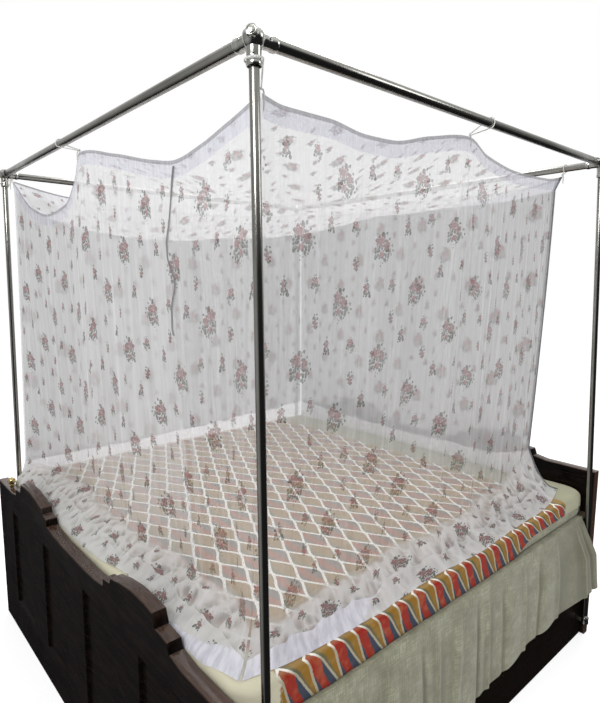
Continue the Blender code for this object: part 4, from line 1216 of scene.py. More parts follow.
def bunched(place, side, share):
    """Height of the crumples where the cloth lies bunched on the bed."""
    x, y = place[:, 0], place[:, 1]
    turn = {"near": 0.5, "head": 2.1, "far": 0.5, "foot": 2.1}[side]
    ax, ay = x * math.cos(turn) + y * math.sin(turn), y * math.cos(turn) - x * math.sin(turn)
    warp = 0.5 * smooth_noise(x * 5, y * 5, 41)
    big = 1 - np.abs(smooth_noise(ax * 9 + warp, ay * 19 + warp, 42))
    small = 1 - np.abs(smooth_noise(ax * 31 - warp, ay * 22, 43))
    across = 1 - np.abs(smooth_noise(ay * 17 + 2 * warp, ax * 17 + 3 * warp, 44))
    patch = np.clip(0.6 + 1.1 * smooth_noise(x * 6, y * 6, 45), 0.15, 1.3)
    body = 0.75 * big**3 + 0.30 * small**3 * patch + 0.30 * across**4 * patch
    swell = 0.027 * math.sin(math.pi * min(1, max(0, share)) ** 0.8) + 0.005
    smooth = smooth_stretch(side, x, y)
    return swell * body * (1 - 0.75 * smooth * min(1.0, max(0.0, share * 2 - 0.6)))


def lying_points(side, u, share):
    """Points on the part of a wall that turns out and lies on the bed as far as the hem."""
    knee = wall_points(side, u, HEADING_DEPTH, 1.0)
    hem = hem_points(side, u)
    place = knee + (hem - knee) * share
    place[:, 2] = hem[:, 2] + (knee[:, 2] - hem[:, 2]) * (1 - share) ** 2.2
    edge = np.minimum(1.0, np.minimum(u, 1 - u) / 0.06)
    place[:, 2] += bunched(place, side, share) * edge * min(1.0, 0.2 + 4 * share)
    slide = 0.006 * smooth_noise(place[:, 0] * 21, place[:, 1] * 21, 47)
    slide = slide * math.sin(math.pi * share)
    reach = {"near": 0.006, "foot": 0.021}.get(side, 0.0) * share * edge
    place[:, :2] += outwards(side, u)[:, :2] * (slide * edge + reach)[:, None]
    in_x = SPREAD_HALF[0] - np.abs(place[:, 0])
    in_y = SPREAD_HALF[1] - np.abs(place[:, 1])
    inset = np.clip(np.minimum(in_x, in_y), 0.0005, SPREAD_ROUND)
    over = SPREAD_ROUND - np.sqrt(SPREAD_ROUND**2 - (SPREAD_ROUND - inset) ** 2)
    place[:, 2] -= 0.85 * over * share
    return place


def corner_trim(side, u):
    """Pulls a side's ends back by half of the corner binding."""
    trim = (CORNER_HALF + SEAM_GAP) / side_length(side)
    return trim + u * (1 - 2 * trim)


def cloth_along(side, u):
    """Distance along the cloth itself, which takes up more than the hung length."""
    along = along_at(side, u, 1) * 0.5 + along_at(side, u, 2) * 0.5
    if side == "near":
        return smooth_line(TAKEN_UP, 1, along)
    return along * 1.05 + 0.020 * smooth_noise(along * 3, 1.5, 30 + SIDES.index(side))


def flat_of(side, u, points, start, lying_from=NEVER):
    """Flat map of a wall's rows: along the cloth, and down it from the top edge.

    Where it lies bunched, more cloth is taken up in each step.
    """
    steps = np.linalg.norm(np.diff(points, axis=0), axis=2)
    steps[lying_from:] *= 1.7
    down = np.vstack([np.zeros(len(u)), np.cumsum(steps, axis=0)]) + start
    down = down.mean(axis=1)[:, None] * 0.5 + down * 0.5
    along = np.broadcast_to(cloth_along(side, u), down.shape)
    return np.stack([along, down], axis=-1)


# ---- net cloth -------------------------------------------------------------------------
# White polyester net, holes about a millimetre, printed with small bunches of dusty pink
# roses and grey-green leaves, a half-drop repeat, with single buds between them.

BUNCH_ACROSS = 0.155
BUNCH_DOWN = 0.305
BUNCH_START = 0.280  # from the top edge to the first bunch's middle
NET_WHITE = (0.80, 0.805, 0.815, 1)
NET_SHADE = (0.74, 0.745, 0.755, 1)
NET_BRIGHT = (0.88, 0.88, 0.905, 1)
ROSE = (0.24, 0.070, 0.080, 1)
ROSE_PALE = (0.37, 0.18, 0.18, 1)
ROSE_HEART = (0.085, 0.030, 0.036, 1)
LEAF = (0.045, 0.052, 0.041, 1)
LEAF_PALE = (0.23, 0.26, 0.22, 1)
# Grey of the painted shade in the sunk crumples of the lying net.
CREASE_SHADE_GREY = (0.20, 0.20, 0.22, 1)
ENTRY_AT = 0.435  # across the bed from its near side
# Where roses and leaves may stand in one repeat. Columns: across, down, half width, half
# height, all from the middle of the bunch.
ROSE_BEDS = [
    (-0.01, -0.017, 0.016, 0.015), (0.015, -0.005, 0.013, 0.012), (-0.005, 0.018, 0.01, 0.009),
    (-0.054, 0.108, 0.007, 0.011), (0.052, -0.104, 0.006, 0.012), (0.048, 0.098, 0.009, 0.01),
]
LEAF_BEDS = [
    (0.002, 0.004, 0.037, 0.04), (-0.052, 0.114, 0.013, 0.022), (0.052, -0.108, 0.01, 0.023),
    (0.048, 0.108, 0.015, 0.018),
]
LEAF_SIZE = 125.0
BAND_RIB = 900.0


def beds(place, table, reach):
    """1 where a place stands in any of a table's beds, each grown by its reach there."""
    found = []
    for across, down, half_width, half_height in table:
        inputs = {0: place, 1: (1 / half_width, 1 / half_height, 0)}
        inputs[2] = (-across / half_width, -down / half_height, 0)
        scaled = node(place.tree, "ShaderNodeVectorMath", inputs, operation="MULTIPLY_ADD")
        inputs = {0: Value(scaled)}
        length = node(place.tree, "ShaderNodeVectorMath", inputs, operation="LENGTH")
        found.append(sums("LESS_THAN", Value(length, "Value"), reach))
    total = found[0]
    for value in found[1:]:
        total = sums("MAXIMUM", total, value)
    return total


def bunch_place(tree, shift, size):
    """Place within one repeat of the print, from the middle of its bunch."""
    x, y, _ = split(cloth_place(tree, (size, size, 1), shift))
    column = x / BUNCH_ACROSS
    across = (sums("FRACT", column) - 0.5) * BUNCH_ACROSS
    row = y / BUNCH_DOWN + sums("FRACT", sums("FLOOR", column) * 0.5)
    down = (sums("FRACT", row) - 0.5) * BUNCH_DOWN
    return Value(node(tree, "ShaderNodeCombineXYZ", {0: across, 1: down}))


def flower_print(tree, base, shift, size):
    """The cloth's colour with its flowers, and 1 where there is ink."""
    spot = bunch_place(tree, shift, size)
    mottle = noise(spot, 150.0, 2.0, 0.8)
    rose = beds(spot, ROSE_BEDS, mottle * 4.0 - 1.05)
    inputs = {"Vector": spot, "Scale": LEAF_SIZE, "Randomness": 1.0}
    leaves = node(tree, "ShaderNodeTexVoronoi", inputs, voronoi_dimensions="2D")
    parts = node(tree, "ShaderNodeSeparateColor", {0: Value(leaves, "Color")})
    small, pale, spread_out = (Value(parts, i) for i in range(3))
    reach = between(small, 0.05, 0.9, 0.24, 0.74)
    leaf = sums("LESS_THAN", Value(leaves, "Distance"), reach)
    leaf = leaf * beds(Value(leaves, "Position"), LEAF_BEDS, spread_out * 0.60 + 0.68)
    pink = blend(between(mottle, 0.52, 0.56), ROSE_PALE, ROSE)
    pink = blend(between(mottle, 0.57, 0.62), pink, ROSE_HEART)
    ink = sums("MAXIMUM", rose, leaf)
    return blend(ink * 0.86, base, blend(rose, blend(pale, LEAF, LEAF_PALE), pink)), ink


def make_sheer(tree, shader, base, glow, hide):
    """Lets light through the cloth by its glow, and shows what is behind where it is open."""
    through = Value(node(tree, "ShaderNodeBsdfTranslucent", {"Color": base}))
    cloth = Value(node(tree, "ShaderNodeMixShader", {0: glow, 1: Value(shader), 2: through}))
    clear = Value(node(tree, "ShaderNodeBsdfTransparent"))
    whole = Value(node(tree, "ShaderNodeMixShader", {0: hide, 1: clear, 2: cloth}))
    connect(tree.nodes["Material Output"], {"Surface": whole})


def net_material(name, cover, shift, shade_tint=1.0, size=1.0):
    """Sheer printed net. Cover is how much of what is behind it the threads hide."""

    def tinted(colour):
        """The colour darkened for the wall: painted shade."""
        return tuple(part * shade_tint for part in colour[:3]) + (1,)

    made, tree, shader = fresh_material(name)
    streaks = noise(cloth_place(tree, (30, 0.9, 1)), 1.0, 4.0, 0.62)
    gather, painted_shade = (
        Value(node(tree, "ShaderNodeAttribute", attribute_name=stored), "Fac")
        for stored in ("gather", "painted_shade")
    )
    base = blend(between(streaks, 0.34, 0.48), tinted(NET_SHADE), tinted(NET_WHITE))
    base = blend(between(streaks, 0.55, 0.66), base, tinted(NET_BRIGHT))
    base, ink = flower_print(tree, base, shift, size)
    # Sunk crumples are darkened towards grey: painted shade.
    base = blend(painted_shade * 0.75, base, CREASE_SHADE_GREY)
    finish(
        shader, base, between(streaks, 0.3, 0.7, 0.6, 0.8), streaks, 0.15, 0.003,
        Specular_IOR_Level=0.2, Sheen_Weight=0.2, Sheen_Roughness=0.4,
    )
    hide = between(streaks, 0.35, 0.65, -0.03, 0.03) + cover
    hide = ink * 0.24 + (gather * 0.64 + hide)
    make_sheer(tree, shader, base, 0.45, sums("MINIMUM", hide, 0.97))
    return made


def band_material(name, colour, shade, cover):
    """Close plain weave of the bands and bindings, ribbed across and a little creased."""
    made, tree, shader = fresh_material(name)
    folds = noise(cloth_place(tree, (60, 9, 1)), 1.0, 3.0)
    # Sunk creases take the shade colour: painted shade.
    base = blend(between(folds, 0.36, 0.62), (*shade, 1), (*colour, 1))
    rib = sums("SINE", split(cloth_place(tree))[0] * BAND_RIB)
    finish(
        shader, base, between(folds, 0.3, 0.7, 0.70, 0.88), rib * 0.15 + folds, 0.4, 0.0015,
        Sheen_Weight=0.25,
    )
    make_sheer(tree, shader, base, 0.25, between(folds, 0.3, 0.6, cover - 0.06, cover + 0.05))
    return made


def mark_folds(piece, points, lying_from):
    """Stores where threads gather in line, and painted shade where the lying cloth sinks."""
    rows = np.arange(len(points))[:, None]
    across = np.gradient(points, axis=1)
    run = np.linalg.norm(across[..., :2], axis=2) + 1e-9
    flow = np.abs(np.gradient(np.arctan2(across[..., 1], across[..., 0]), axis=1))
    flow = np.minimum(flow, 0.6) / np.maximum(run, 0.004) * 0.007
    lies = np.clip((rows - lying_from) / 4.0, 0, 1)
    rise = points[..., 2] - softened(points[..., 2], 3)
    gather = np.clip(0.95 * flow - 0.10, 0, 0.6) * (1 - lies)
    gather = gather + lies * np.clip(0.78 + 60 * rise, 0.45, 0.98)
    if piece.name == "net_wall_foot":
        # Past the entry the two edges of the net overlap.
        gather = gather + 0.26 * (1 - lies) * (points[..., 1] > ENTRY_AT - BED_WIDTH / 2)
    store(piece, "gather", gather)
    store(piece, "painted_shade", np.clip(-rise * 110 - 0.06, 0, 0.55) * lies)


WALL_SHAPES = {
    "near": {"columns": 250, "rows": 165, "lying": 16, "hem_from": 0.5},
    "foot": {"columns": 250, "rows": 165, "lying": 16, "hem_from": 0.5},
    "head": {"columns": 200, "rows": 130, "lying": 3, "hem_from": 0.04},
    "far": {"columns": 200, "rows": 130, "lying": 3, "hem_from": 0.04},
}
# Columns: cover, tint (below 1 on the head and far walls: painted shade), where the
# print starts along the cloth.
WALL_LOOKS = {
    "near": (0.39, 1.0, BUNCH_ACROSS / 2),
    "foot": (0.39, 1.0, -BUNCH_ACROSS / 2),
    "head": (0.89, 0.54, -BUNCH_ACROSS / 2),
    "far": (0.89, 0.58, -BUNCH_ACROSS / 2),
}
BINDING_DEPTH = 0.010
HEM_ROWS = 24
HEM_DOWN = 1.4  # down the cloth, where the hem band starts
# The far and head hem bands are whiter than the near ones: painted light inside the net.
WHITE, WHITE_SHADE = (0.96, 0.96, 1.0), (0.88, 0.88, 0.94)
band = band_material("lavender_band", (0.80, 0.80, 0.88), (0.66, 0.66, 0.75), 0.92)
far_band_painted_light = band_material("far_band_painted_light", WHITE, WHITE_SHADE, 0.70)
head_band_painted_light = band_material("head_band_painted_light", WHITE, WHITE_SHADE, 0.97)
heading_band = band_material("heading_band", (0.66, 0.66, 0.74), (0.54, 0.54, 0.62), 0.62)
tape = band_material("binding_tape", (0.36, 0.36, 0.39), (0.24, 0.24, 0.26), 0.85)
rolled = net_material("bunched_net", 0.70, (0.02, 0.04, 0.0))


def strip(side, name, upper, lower, rows, material):
    """A band along the top edge of a wall, between two depths below it."""
    u = corner_trim(side, np.linspace(0, 1, 300))
    drops = np.linspace(upper, lower, rows)
    points = np.array([wall_points(side, u, drop, 0.0) for drop in drops])
    return grid_mesh(name, points, flat_of(side, u, points, upper), material)


def cut_over(piece, side, points, material, chosen):
    """Gives a piece a second material on the faces that are chosen by their middles."""
    place = np.moveaxis((points[1:, 1:] + points[:-1, :-1]) / 2, 2, 0)
    along = place[0] + BED_LENGTH / 2 if side in ("near", "far") else place[1] + BED_WIDTH / 2
    piece.data.materials.append(material)
    picked = np.ascontiguousarray(chosen(place, along)).reshape(-1)
    piece.data.polygons.foreach_set("material_index", picked.astype(np.int32))


def roll_over(side):
    """Picks the part of the hem band that bunched net covers, past its smooth stretch."""
    limit, reach = {"near": (0.47, -0.10), "foot": (0.50, 0.75)}[side]

    def chosen(place, along):
        """Where the covered part begins, with a ragged edge."""
        rag = 0.05 * smooth_noise(place[0] * 30, place[1] * 30, 61)
        inner = reach * (1 - np.linspace(0, 1, len(along)))[:, None]
        return (along + rag + inner * np.clip(along / 0.3, 0, 1)) > limit

    return chosen


def stand_up(place, along):
    """Picks the foot of a back wall, where the hem band stands up off the bed."""
    edge = SPREAD_TOP + 0.050 + 0.028 * along + 0.008 * smooth_noise(along * 6, 3.0, 63)
    return place[2] < edge


def make_wall(side):
    """One wall of the net, with its hem, heading and top binding as pieces on it."""
    shape = WALL_SHAPES[side]
    cover, shade_tint, print_from = WALL_LOOKS[side]
    u = corner_trim(side, np.linspace(0, 1, shape["columns"]))
    hung = [wall_points(side, u, HEADING_DEPTH, s) for s in np.linspace(0, 1, shape["rows"])]
    split_at = shape["hem_from"]
    lying = [lying_points(side, u, s) for s in np.linspace(0, split_at, shape["lying"])]
    points = np.array(hung + lying[1:])
    shift = (print_from, BUNCH_DOWN / 2 - BUNCH_START, 0.0)
    material = net_material("printed_net_" + side, cover, shift, shade_tint)
    flat = flat_of(side, u, points, HEADING_DEPTH, shape["rows"])
    wall = grid_mesh("net_wall_" + side, points, flat, material)
    mark_folds(wall, points, shape["rows"] - 3)
    hem_band = {"far": far_band_painted_light, "head": head_band_painted_light}.get(side, band)
    if side in ("head", "far"):
        cut_over(wall, side, points, hem_band, stand_up)
    stand_for(wall, "printed_net", "wall_" + side)
    low = np.array([lying_points(side, u, s) for s in np.linspace(split_at, 1.0, HEM_ROWS)])
    hem = grid_mesh("net_hem_" + side, low, flat_of(side, u, low, HEM_DOWN, 0), hem_band)
    if side in ("near", "foot"):
        cut_over(hem, side, low, rolled, roll_over(side))
    else:
        hem.data.materials.append(rolled)
    mark_folds(hem, low, -8)
    stand_for(hem, "white_band", "hem_" + side)
    heading = strip(side, "net_heading_" + side, BINDING_DEPTH, HEADING_DEPTH, 8, heading_band)
    stand_for(heading, "white_band", "heading_" + side)
    binding = strip(side, "net_binding_" + side, 0.0, BINDING_DEPTH, 4, tape)
    stand_for(binding, "grey_binding", "binding_" + side)
    # The wall's flat size: the mean length of its rows, and of its columns.
    sizes = [
        round(np.linalg.norm(np.diff(points, axis=1 - i), axis=2).sum(axis=1 - i).mean(), 3)
        for i in (0, 1)
    ]
    return wall, tuple(sizes), [hem, heading, binding]


walls = {side: make_wall(side) for side in SIDES}

# ---- entry -----------------------------------------------------------------------------
# The way in is a slit in the foot wall whose edges overlap. Its outer edge is bound with
# dark grey cotton tape, sewn on, that hangs wavy.

ENTRY_DARK, ENTRY_SHADE = (0.24, 0.235, 0.24), (0.085, 0.08, 0.085)
TAPE_HALF, TAPE_WAVE = 0.0050, 0.0022
TAPE_OUT = 0.0035
# Columns: height, place across the bed from its near side.
ENTRY = [
    (1.484, 0.438), (1.508, 0.446), (1.556, 0.438), (1.592, 0.426), (1.632, 0.416),
    (1.66, 0.426), (1.696, 0.442), (1.728, 0.438), (1.78, 0.426), (1.832, 0.416),
    (1.88, 0.404), (1.925, 0.392),
]


def make_entry():
    """The tape, laid just outside the foot wall at each height."""
    heights = np.linspace(ENTRY[-1][0], ENTRY[0][0], 90)
    across = smooth_line(ENTRY, 1, heights) - BED_WIDTH / 2
    mesh = walls["foot"][0].data
    net = np.empty(len(mesh.vertices) * 3)
    mesh.vertices.foreach_get("co", net)
    net = net.reshape(-1, 3)
    place = np.array([
        net[np.argmin((net[:, 1] - y) ** 2 + (net[:, 2] - z) ** 2), 0]
        for y, z in zip(across, heights)
    ])
    place = np.convolve(np.pad(place, 4, mode="edge"), np.ones(9) / 9, mode="valid")
    width = TAPE_HALF + TAPE_WAVE * smooth_noise(heights * 14, 2.0, 71)
    points = []
    for k, lift in zip(np.linspace(-1, 1, 5), (0.0, 0.0010, 0.0014, 0.0010, 0.0)):
        points.append(np.column_stack([place - TAPE_OUT - lift, across + k * width, heights]))
    points = np.array(points).transpose(1, 0, 2)
    flat = np.stack(np.meshgrid(np.linspace(0, 0.008, 5), ENTRY[-1][0] - heights), axis=-1)
    dark = band_material("entry_tape", ENTRY_DARK, ENTRY_SHADE, 0.88)
    piece = grid_mesh("net_entry_tape", points, flat, dark)
    stand_for(piece, "grey_binding")
    return piece


entry = make_entry()
for side, (wall, sizes, sewn) in walls.items():
    sewn = sewn + ([entry] if side == "foot" else [])

# ---- corner bindings -------------------------------------------------------------------
# Grey tape folded over the seam between two walls and stitched through both, from the top
# edge down to the hem. The right one is wider and darker.

RIGHT_TAPE_HALF = 0.015
RIGHT_TAPE_OUT = 0.0012
RIGHT_TAPE_UP = 0.0008
corner_tape = band_material("corner_tape", (0.72, 0.72, 0.75), (0.60, 0.60, 0.63), 0.38)
dark_tape = band_material("dark_tape", (0.12, 0.12, 0.14), (0.045, 0.045, 0.055), 0.95)


def make_corner(name):
    """The tape on one corner: its outer edge, its middle on the seam and its other edge."""
    names = [row[0] for row in CORNERS]
    after = SIDES[names.index(name)]
    before = SIDES[SIDES.index(after) - 1]
    tape_half = RIGHT_TAPE_HALF if name == "right" else CORNER_HALF
    rows = []
    levels = [(0.0, 0.0, None)]
    levels += [(HEADING_DEPTH, share, None) for share in np.linspace(0, 1, 110)]
    levels += [(0, 0, share) for share in np.linspace(0.05, 1.0, 16)]
    for drop, share, lying in levels:
        row = []
        for side in (before, after):
            half = tape_half / side_length(side)
            u = np.array([1 - half, 1.0]) if side == before else np.array([half])
            if lying is None:
                place = wall_points(side, u, drop, share)
            else:
                place = lying_points(side, u, lying)
            if name == "right":
                place = place + outwards(side, u) * RIGHT_TAPE_OUT + (0, 0, RIGHT_TAPE_UP)
            row.append(place)
        rows.append(np.vstack(row))
    points = np.array(rows)
    wide = [0.0, tape_half, 2 * tape_half]
    flat = np.stack(np.meshgrid(wide, run_down(points[:, 1])), axis=-1)
    material = dark_tape if name == "right" else corner_tape
    piece = grid_mesh("net_corner_" + name, points, flat, material)
    stand_for(piece, "grey_binding", "corner_binding_" + name)


for row in CORNERS:
    make_corner(row[0])

# ---- roof ------------------------------------------------------------------------------
# The same printed net, sewn inside the top edge. It sags in the middle and is drawn up in
# slack folds towards the ties.

ROOF_STEPS = 190
ROOF_SAG = 0.085
ROOF_INSIDE = 0.0021
ROOF_EASE = 1.03
# The roof's tint darkens its net a little: painted shade.
ROOF_COVER, ROOF_SHADE_TINT, ROOF_PRINT_SIZE = 0.72, 0.90, 1.7
# Columns: from x, y to x, y (from the bed's near foot corner), half width, rise.
ROOF_FOLDS = [
    (0.2, 0.1, 0.8, 0.75, 0.055, 0.022), (0.34, 0.08, 1.05, 0.6, 0.05, -0.02),
    (0.18, 0.26, 0.62, 1.05, 0.06, -0.018), (0.96, 0.1, 1.02, 0.75, 0.055, 0.02),
    (1.82, 0.26, 1.25, 0.8, 0.06, 0.02), (1.8, 1.8, 1.15, 1.2, 0.06, 0.018),
    (0.2, 1.78, 0.8, 1.25, 0.06, 0.016), (0.18, 1.06, 0.8, 1, 0.05, 0.016),
]
# Narrow creases out of the ties, in the same columns.
ROOF_CREASES = [
    (0.14, 0.06, 0.75, 0.25, 0.012, 0.006), (0.14, 0.06, 0.6, 0.55, 0.012, -0.006),
    (0.14, 0.06, 0.35, 0.7, 0.012, 0.006), (0.96, 0.07, 0.8, 0.5, 0.012, 0.006),
    (0.96, 0.07, 1, 0.55, 0.012, -0.006), (0.96, 0.07, 1.2, 0.45, 0.012, 0.005),
    (1.87, 0.21, 1.45, 0.4, 0.012, 0.006), (1.87, 0.21, 1.55, 0.7, 0.012, -0.006),
    (0.13, 1.05, 0.55, 0.95, 0.012, 0.006), (0.13, 1.05, 0.5, 1.2, 0.012, -0.005),
    (0.13, 1.85, 0.5, 1.5, 0.012, 0.006), (0.13, 1.85, 0.65, 1.75, 0.012, -0.005),
    (1.86, 1.86, 1.5, 1.5, 0.012, 0.006),
]


def roof_lift(x, y, table):
    """How far folds lift the roof at places from the bed's near foot corner."""
    total = np.zeros_like(x)
    for from_x, from_y, to_x, to_y, half_width, lift in table:
        way = np.array((to_x - from_x, to_y - from_y))
        size = way @ way
        part = ((x - from_x) * way[0] + (y - from_y) * way[1]) / size
        off = np.abs((x - from_x) * way[1] - (y - from_y) * way[0]) / math.sqrt(size)
        fade = np.where(part > 0, np.exp(-((np.maximum(0, part - 0.35) / 0.40) ** 2)), 1.0)
        total += lift * fade * np.exp(-((off / half_width) ** 2)) * (part > -0.2)
    return total


def make_roof():
    """The roof's points, between the four top edges, and its flat map."""
    steps = np.linspace(0, 1, ROOF_STEPS)

    def edge(side, u):
        """A side's top edge, a little inside its binding."""
        place = wall_points(side, corner_trim(side, u), BINDING_DEPTH / 2, 0.0)
        return place - outwards(side, u) * ROOF_INSIDE

    near, head = edge("near", steps), edge("head", steps)
    far, foot = edge("far", 1 - steps), edge("foot", 1 - steps)
    s, t = np.meshgrid(steps, steps)
    s3, t3 = s[..., None], t[..., None]
    across = near[None, :] * (1 - t3) + far[None, :] * t3
    along = foot[:, None] * (1 - s3) + head[:, None] * s3
    corners = (near[0] * (1 - s3) + near[-1] * s3) * (1 - t3)
    corners = corners + (far[0] * (1 - s3) + far[-1] * s3) * t3
    points = across + along - corners
    points[..., 2] -= ROOF_SAG * (16 * s * (1 - s) * t * (1 - t)) ** 0.75
    x, y = points[..., 0] + BED_LENGTH / 2, points[..., 1] + BED_WIDTH / 2
    inside = np.minimum(1.0, 8 * np.minimum(np.minimum(s, 1 - s), np.minimum(t, 1 - t)))
    lift = roof_lift(x, y, ROOF_FOLDS) + roof_lift(x, y, ROOF_CREASES)
    lift += 0.004 * smooth_noise(x * 7, y * 7, 51) + 0.0015 * smooth_noise(x * 23, y * 19, 52)
    points[..., 2] += lift * inside
    return points, np.stack([x, y], axis=-1) * ROOF_EASE


roof_points, roof_flat = make_roof()
roof_net = net_material(
    "printed_net_roof", ROOF_COVER, (0.03, 0.05, 0.0), ROOF_SHADE_TINT, ROOF_PRINT_SIZE
)
roof = grid_mesh("net_roof", roof_points, roof_flat, roof_net)
mark_folds(roof, roof_points, NEVER)
stand_for(roof, "printed_net", "roof")

# ---- ties ------------------------------------------------------------------------------
# White cotton cord, 3.8 mm. Each is knotted into the top binding, goes once round a rail or
# a post socket and back to its knot, and leaves a short free end.

TIE_RADIUS = 0.0019
TIE_CLEAR = 0.0008
KNOT_RADIUS = 0.0052
KNOT_LIFT = 0.0006
KNOT_TURN = 0.0026
KNOT_STRAND = 0.0023
CORD_GROOVE_SHADE = (0.42, 0.42, 0.40, 1)
CORD_WHITE = (0.78, 0.78, 0.76, 1)
# Columns: name, side and place along it, what it goes round, a point beside that (from the
# bed's near foot corner), length of its free end.
TIES = [
    ("near", "near", 0, "post_near", (0.101, 0.029, 2.073), 0.045),
    ("near_mid", "near", 0.5, "rail_near_right", (1, 0.025, 2.115), 0.03),
    ("right", "near", 1, "rail_right_far", (1.872, 0.16, 2.115), 0.035),
    ("far", "head", 1, "post_far", (1.921, 1.96, 2.073), 0.045),
    ("left", "far", 1, "post_left", (0.113, 1.952, 2.073), 0.045),
    ("foot_mid", "foot", 0.5, "rail_near_left", (0.107, 1.18, 2.115), 0.035),
]


def cord_material():
    """Twisted cotton cord: slanting strands, grey in the grooves as painted shade."""
    made, tree, shader = fresh_material("twisted_cord")
    inputs = {"Vector": object_place(tree), "Scale": 190.0, "Distortion": 1.5}
    wave = node(tree, "ShaderNodeTexWave", inputs, bands_direction="DIAGONAL")
    twist = Value(wave, "Fac")
    colour = blend(twist, CORD_GROOVE_SHADE, CORD_WHITE)
    finish(shader, colour, between(twist, 0.0, 1.0, 0.95, 0.8), twist, 0.7, 0.0006)
    return made


def bar_line(name):
    """A point on a bar's centre line, its direction and the radius that a tie goes round."""
    kind, _, rest = name.partition("_")
    if kind == "post":
        foot, top = post_ends(rest)
        return top, (foot - top).normalized(), SOCKET_RADIUS
    first, second = rest.split("_")
    top = post_ends(first)[1]
    return top, (post_ends(second)[1] - top).normalized(), RAIL_RADIUS


def tie_path(knot, centre, axis, radius, tail):
    """Out from the knot, once round a bar and back to the knot, then the free end."""
    ring = radius + TIE_RADIUS + TIE_CLEAR
    across = knot - centre
    across -= axis * across.dot(axis)
    flat = across.normalized()
    up = axis.cross(flat)
    if up.dot(Vector((knot.x, knot.y, 0))) > 0:
        up = -up
    spread = math.acos(min(1.0, ring / across.length))
    loop = []
    for i in range(19):
        part = i / 18
        angle = spread + (2 * math.pi - 2 * spread) * part
        shift = axis * TIE_RADIUS * (1 - 2 * part)
        loop.append(centre + (flat * math.cos(angle) + up * math.sin(angle)) * ring + shift)
    strand = (centre - knot).normalized()
    apart = (up - strand * up.dot(strand)).normalized()
    beside = apart * TIE_RADIUS * 1.3
    # Columns: how far aside the free end hangs, how far down.
    hang = [(0.0042, 0.002), (0.0060, 0.22 * tail), (0.0062, 0.45 * tail), (0.0050, tail)]
    free = [knot - beside - apart * aside - Vector((0, 0, down)) for aside, down in hang]
    return [knot + beside] + loop + [knot - beside] + free


def knot_of(name, knot, way, material):
    """A tight overhand knot: two turns of the cord pulled down on each other."""
    side = way.orthogonal().normalized()
    other = way.cross(side)
    points, flat = [], []
    turns, around = 40, 10
    for i in range(turns):
        a = 2 * math.pi * i / turns
        out = side * math.cos(a) + other * math.sin(a)
        centre = knot + out * KNOT_TURN + way * 0.0014 * math.sin(2 * a)
        row = []
        for k in range(around):
            b = 2 * math.pi * k / around
            row.append(centre + (out * math.cos(b) + way * math.sin(b)) * KNOT_STRAND)
        points.append(row)
        flat.append([(0.0016 * k, 0.0004 * i) for k in range(around + 1)])
    points.append(points[0])
    flat.append(flat[-1])
    return grid_mesh(name, points, flat, material, closed=True)


cord_finish = cord_material()
shift_to_part = Vector((BED_LENGTH / 2, BED_WIDTH / 2, 0))
for name, side, u, bar, beside, tail in TIES:
    start, axis, radius = bar_line(bar)
    centre = start + axis * (Vector(beside) - shift_to_part - start).dot(axis)
    top = Vector(wall_points(side, np.array([float(u)]), 0.0, 0.0)[0])
    knot = top + Vector((0, 0, KNOT_RADIUS + KNOT_LIFT))
    path = tie_path(knot, centre, axis, radius, tail)
    curve = straight_curve(
        "cord_tie_" + name, path, dimensions="3D", bevel_depth=TIE_RADIUS,
        bevel_resolution=4, use_fill_caps=True,
    )
    curve.materials.append(cord_finish)
    tie = placed("cord_tie_" + name, curve)
    stand_for(tie, "white_cord", "tie_" + name)
    tied = knot_of("knot_" + name, knot, (centre - knot).normalized(), cord_finish)
    stand_for(tied, "white_cord")
    length = sum((b - a).length for a, b in zip(path, path[1:]))

# ---- room ------------------------------------------------------------------------------
# A plain pale floor and soft light from above and in front, in a white surround that is
# greyer behind the viewer, so that bright metal has something dark to show.

FLOOR_PALE = (0.62, 0.62, 0.62, 1)
FLOOR_GLOW = 0.62
FLOOR_HALF = 30.0
FLOOR_LOW = -0.0005
SURROUND_DARK = (0.022, 0.022, 0.023, 1)
LAMP_AIM = Vector((0, 0, 0.9))
# Columns: name, place, size, power in watts.
LAMPS = [
    ("lamp_front", (-3.8, -2.2, 4), 1.6, 95.0), ("lamp_right", (2.6, -3.8, 3.8), 1.6, 32.0),
    ("lamp_top", (0.9, 1, 4.4), 2, 95.0),
]


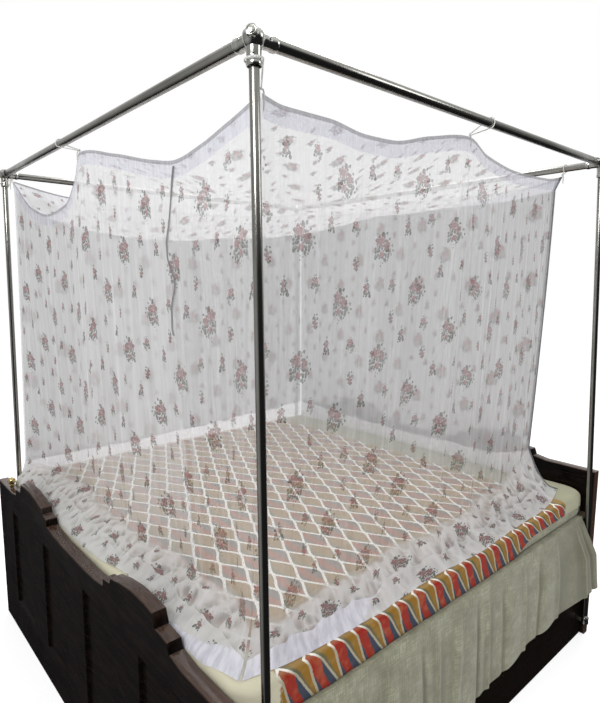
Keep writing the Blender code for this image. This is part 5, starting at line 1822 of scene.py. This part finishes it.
def floor_material():
    """Pale and nearly matt, lit a little of itself."""
    made, tree, shader = fresh_material("pale_floor")
    cloud = noise(object_place(tree), 2.0, 3.0)
    rough = between(cloud, 0.3, 0.7, 0.75, 0.85)
    connect(shader, {"Base Color": FLOOR_PALE, "Roughness": rough, "Specular IOR Level": 0.1})
    connect(shader, {"Emission Color": (1, 1, 1, 1), "Emission Strength": FLOOR_GLOW})
    return made


def make_floor():
    """A level sheet, just under the feet."""
    line = np.linspace(-FLOOR_HALF, FLOOR_HALF, 3)
    x, y = np.meshgrid(line, line)
    points = np.stack([x, y, np.full_like(x, FLOOR_LOW)], axis=-1)
    return grid_mesh("floor", points, points[..., :2], floor_material())


def make_world():
    """White to the eye; as light, white above, in front and to the left only."""
    world = bpy.data.worlds.new("surround")
    world.use_nodes = True
    tree = world.node_tree
    tree.nodes.clear()
    x, y, z = split(Value(node(tree, "ShaderNodeTexCoord"), "Generated"))
    front = between(y * 0.75 + x * 0.66, 0.05, 0.75) * between(z, -0.25, -0.02)
    above = between(z, 0.22, 0.75)
    left = between(y * 0.35 + x * -0.94, 0.50, 0.92, 0.0, 0.50)
    share = sums("MAXIMUM", sums("MAXIMUM", front, above), left)
    colour = blend(share, SURROUND_DARK, (1.0, 1.0, 1.0, 1))
    lit = Value(node(tree, "ShaderNodeBackground", {"Color": colour, "Strength": 0.85}))
    seen = Value(node(tree, "ShaderNodeBackground", {"Color": (1, 1, 1, 1), "Strength": 1.0}))
    ray = Value(node(tree, "ShaderNodeLightPath"), "Is Camera Ray")
    mixed = Value(node(tree, "ShaderNodeMixShader", {0: ray, 1: lit, 2: seen}))
    node(tree, "ShaderNodeOutputWorld", {"Surface": mixed})
    bpy.context.scene.world = world


floor = make_floor()
floor.visible_glossy = False
floor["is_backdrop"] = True
make_world()
for name, place, size, power in LAMPS:
    lamp = bpy.data.lights.new(name, "AREA")
    lamp.size = size
    lamp.energy = power
    lamp_object = placed(name, lamp)
    lamp_object.location = place
    aim = LAMP_AIM - Vector(place)
    lamp_object.rotation_euler = aim.to_track_quat("-Z", "Y").to_euler()
bpy.context.scene.view_settings.view_transform = "Standard"

bpy.context.view_layer.update()
sizes = {
    "cad": [list(map(float, end)) for end in cad_box],
    "visual": [list(map(float, end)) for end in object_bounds()],
}
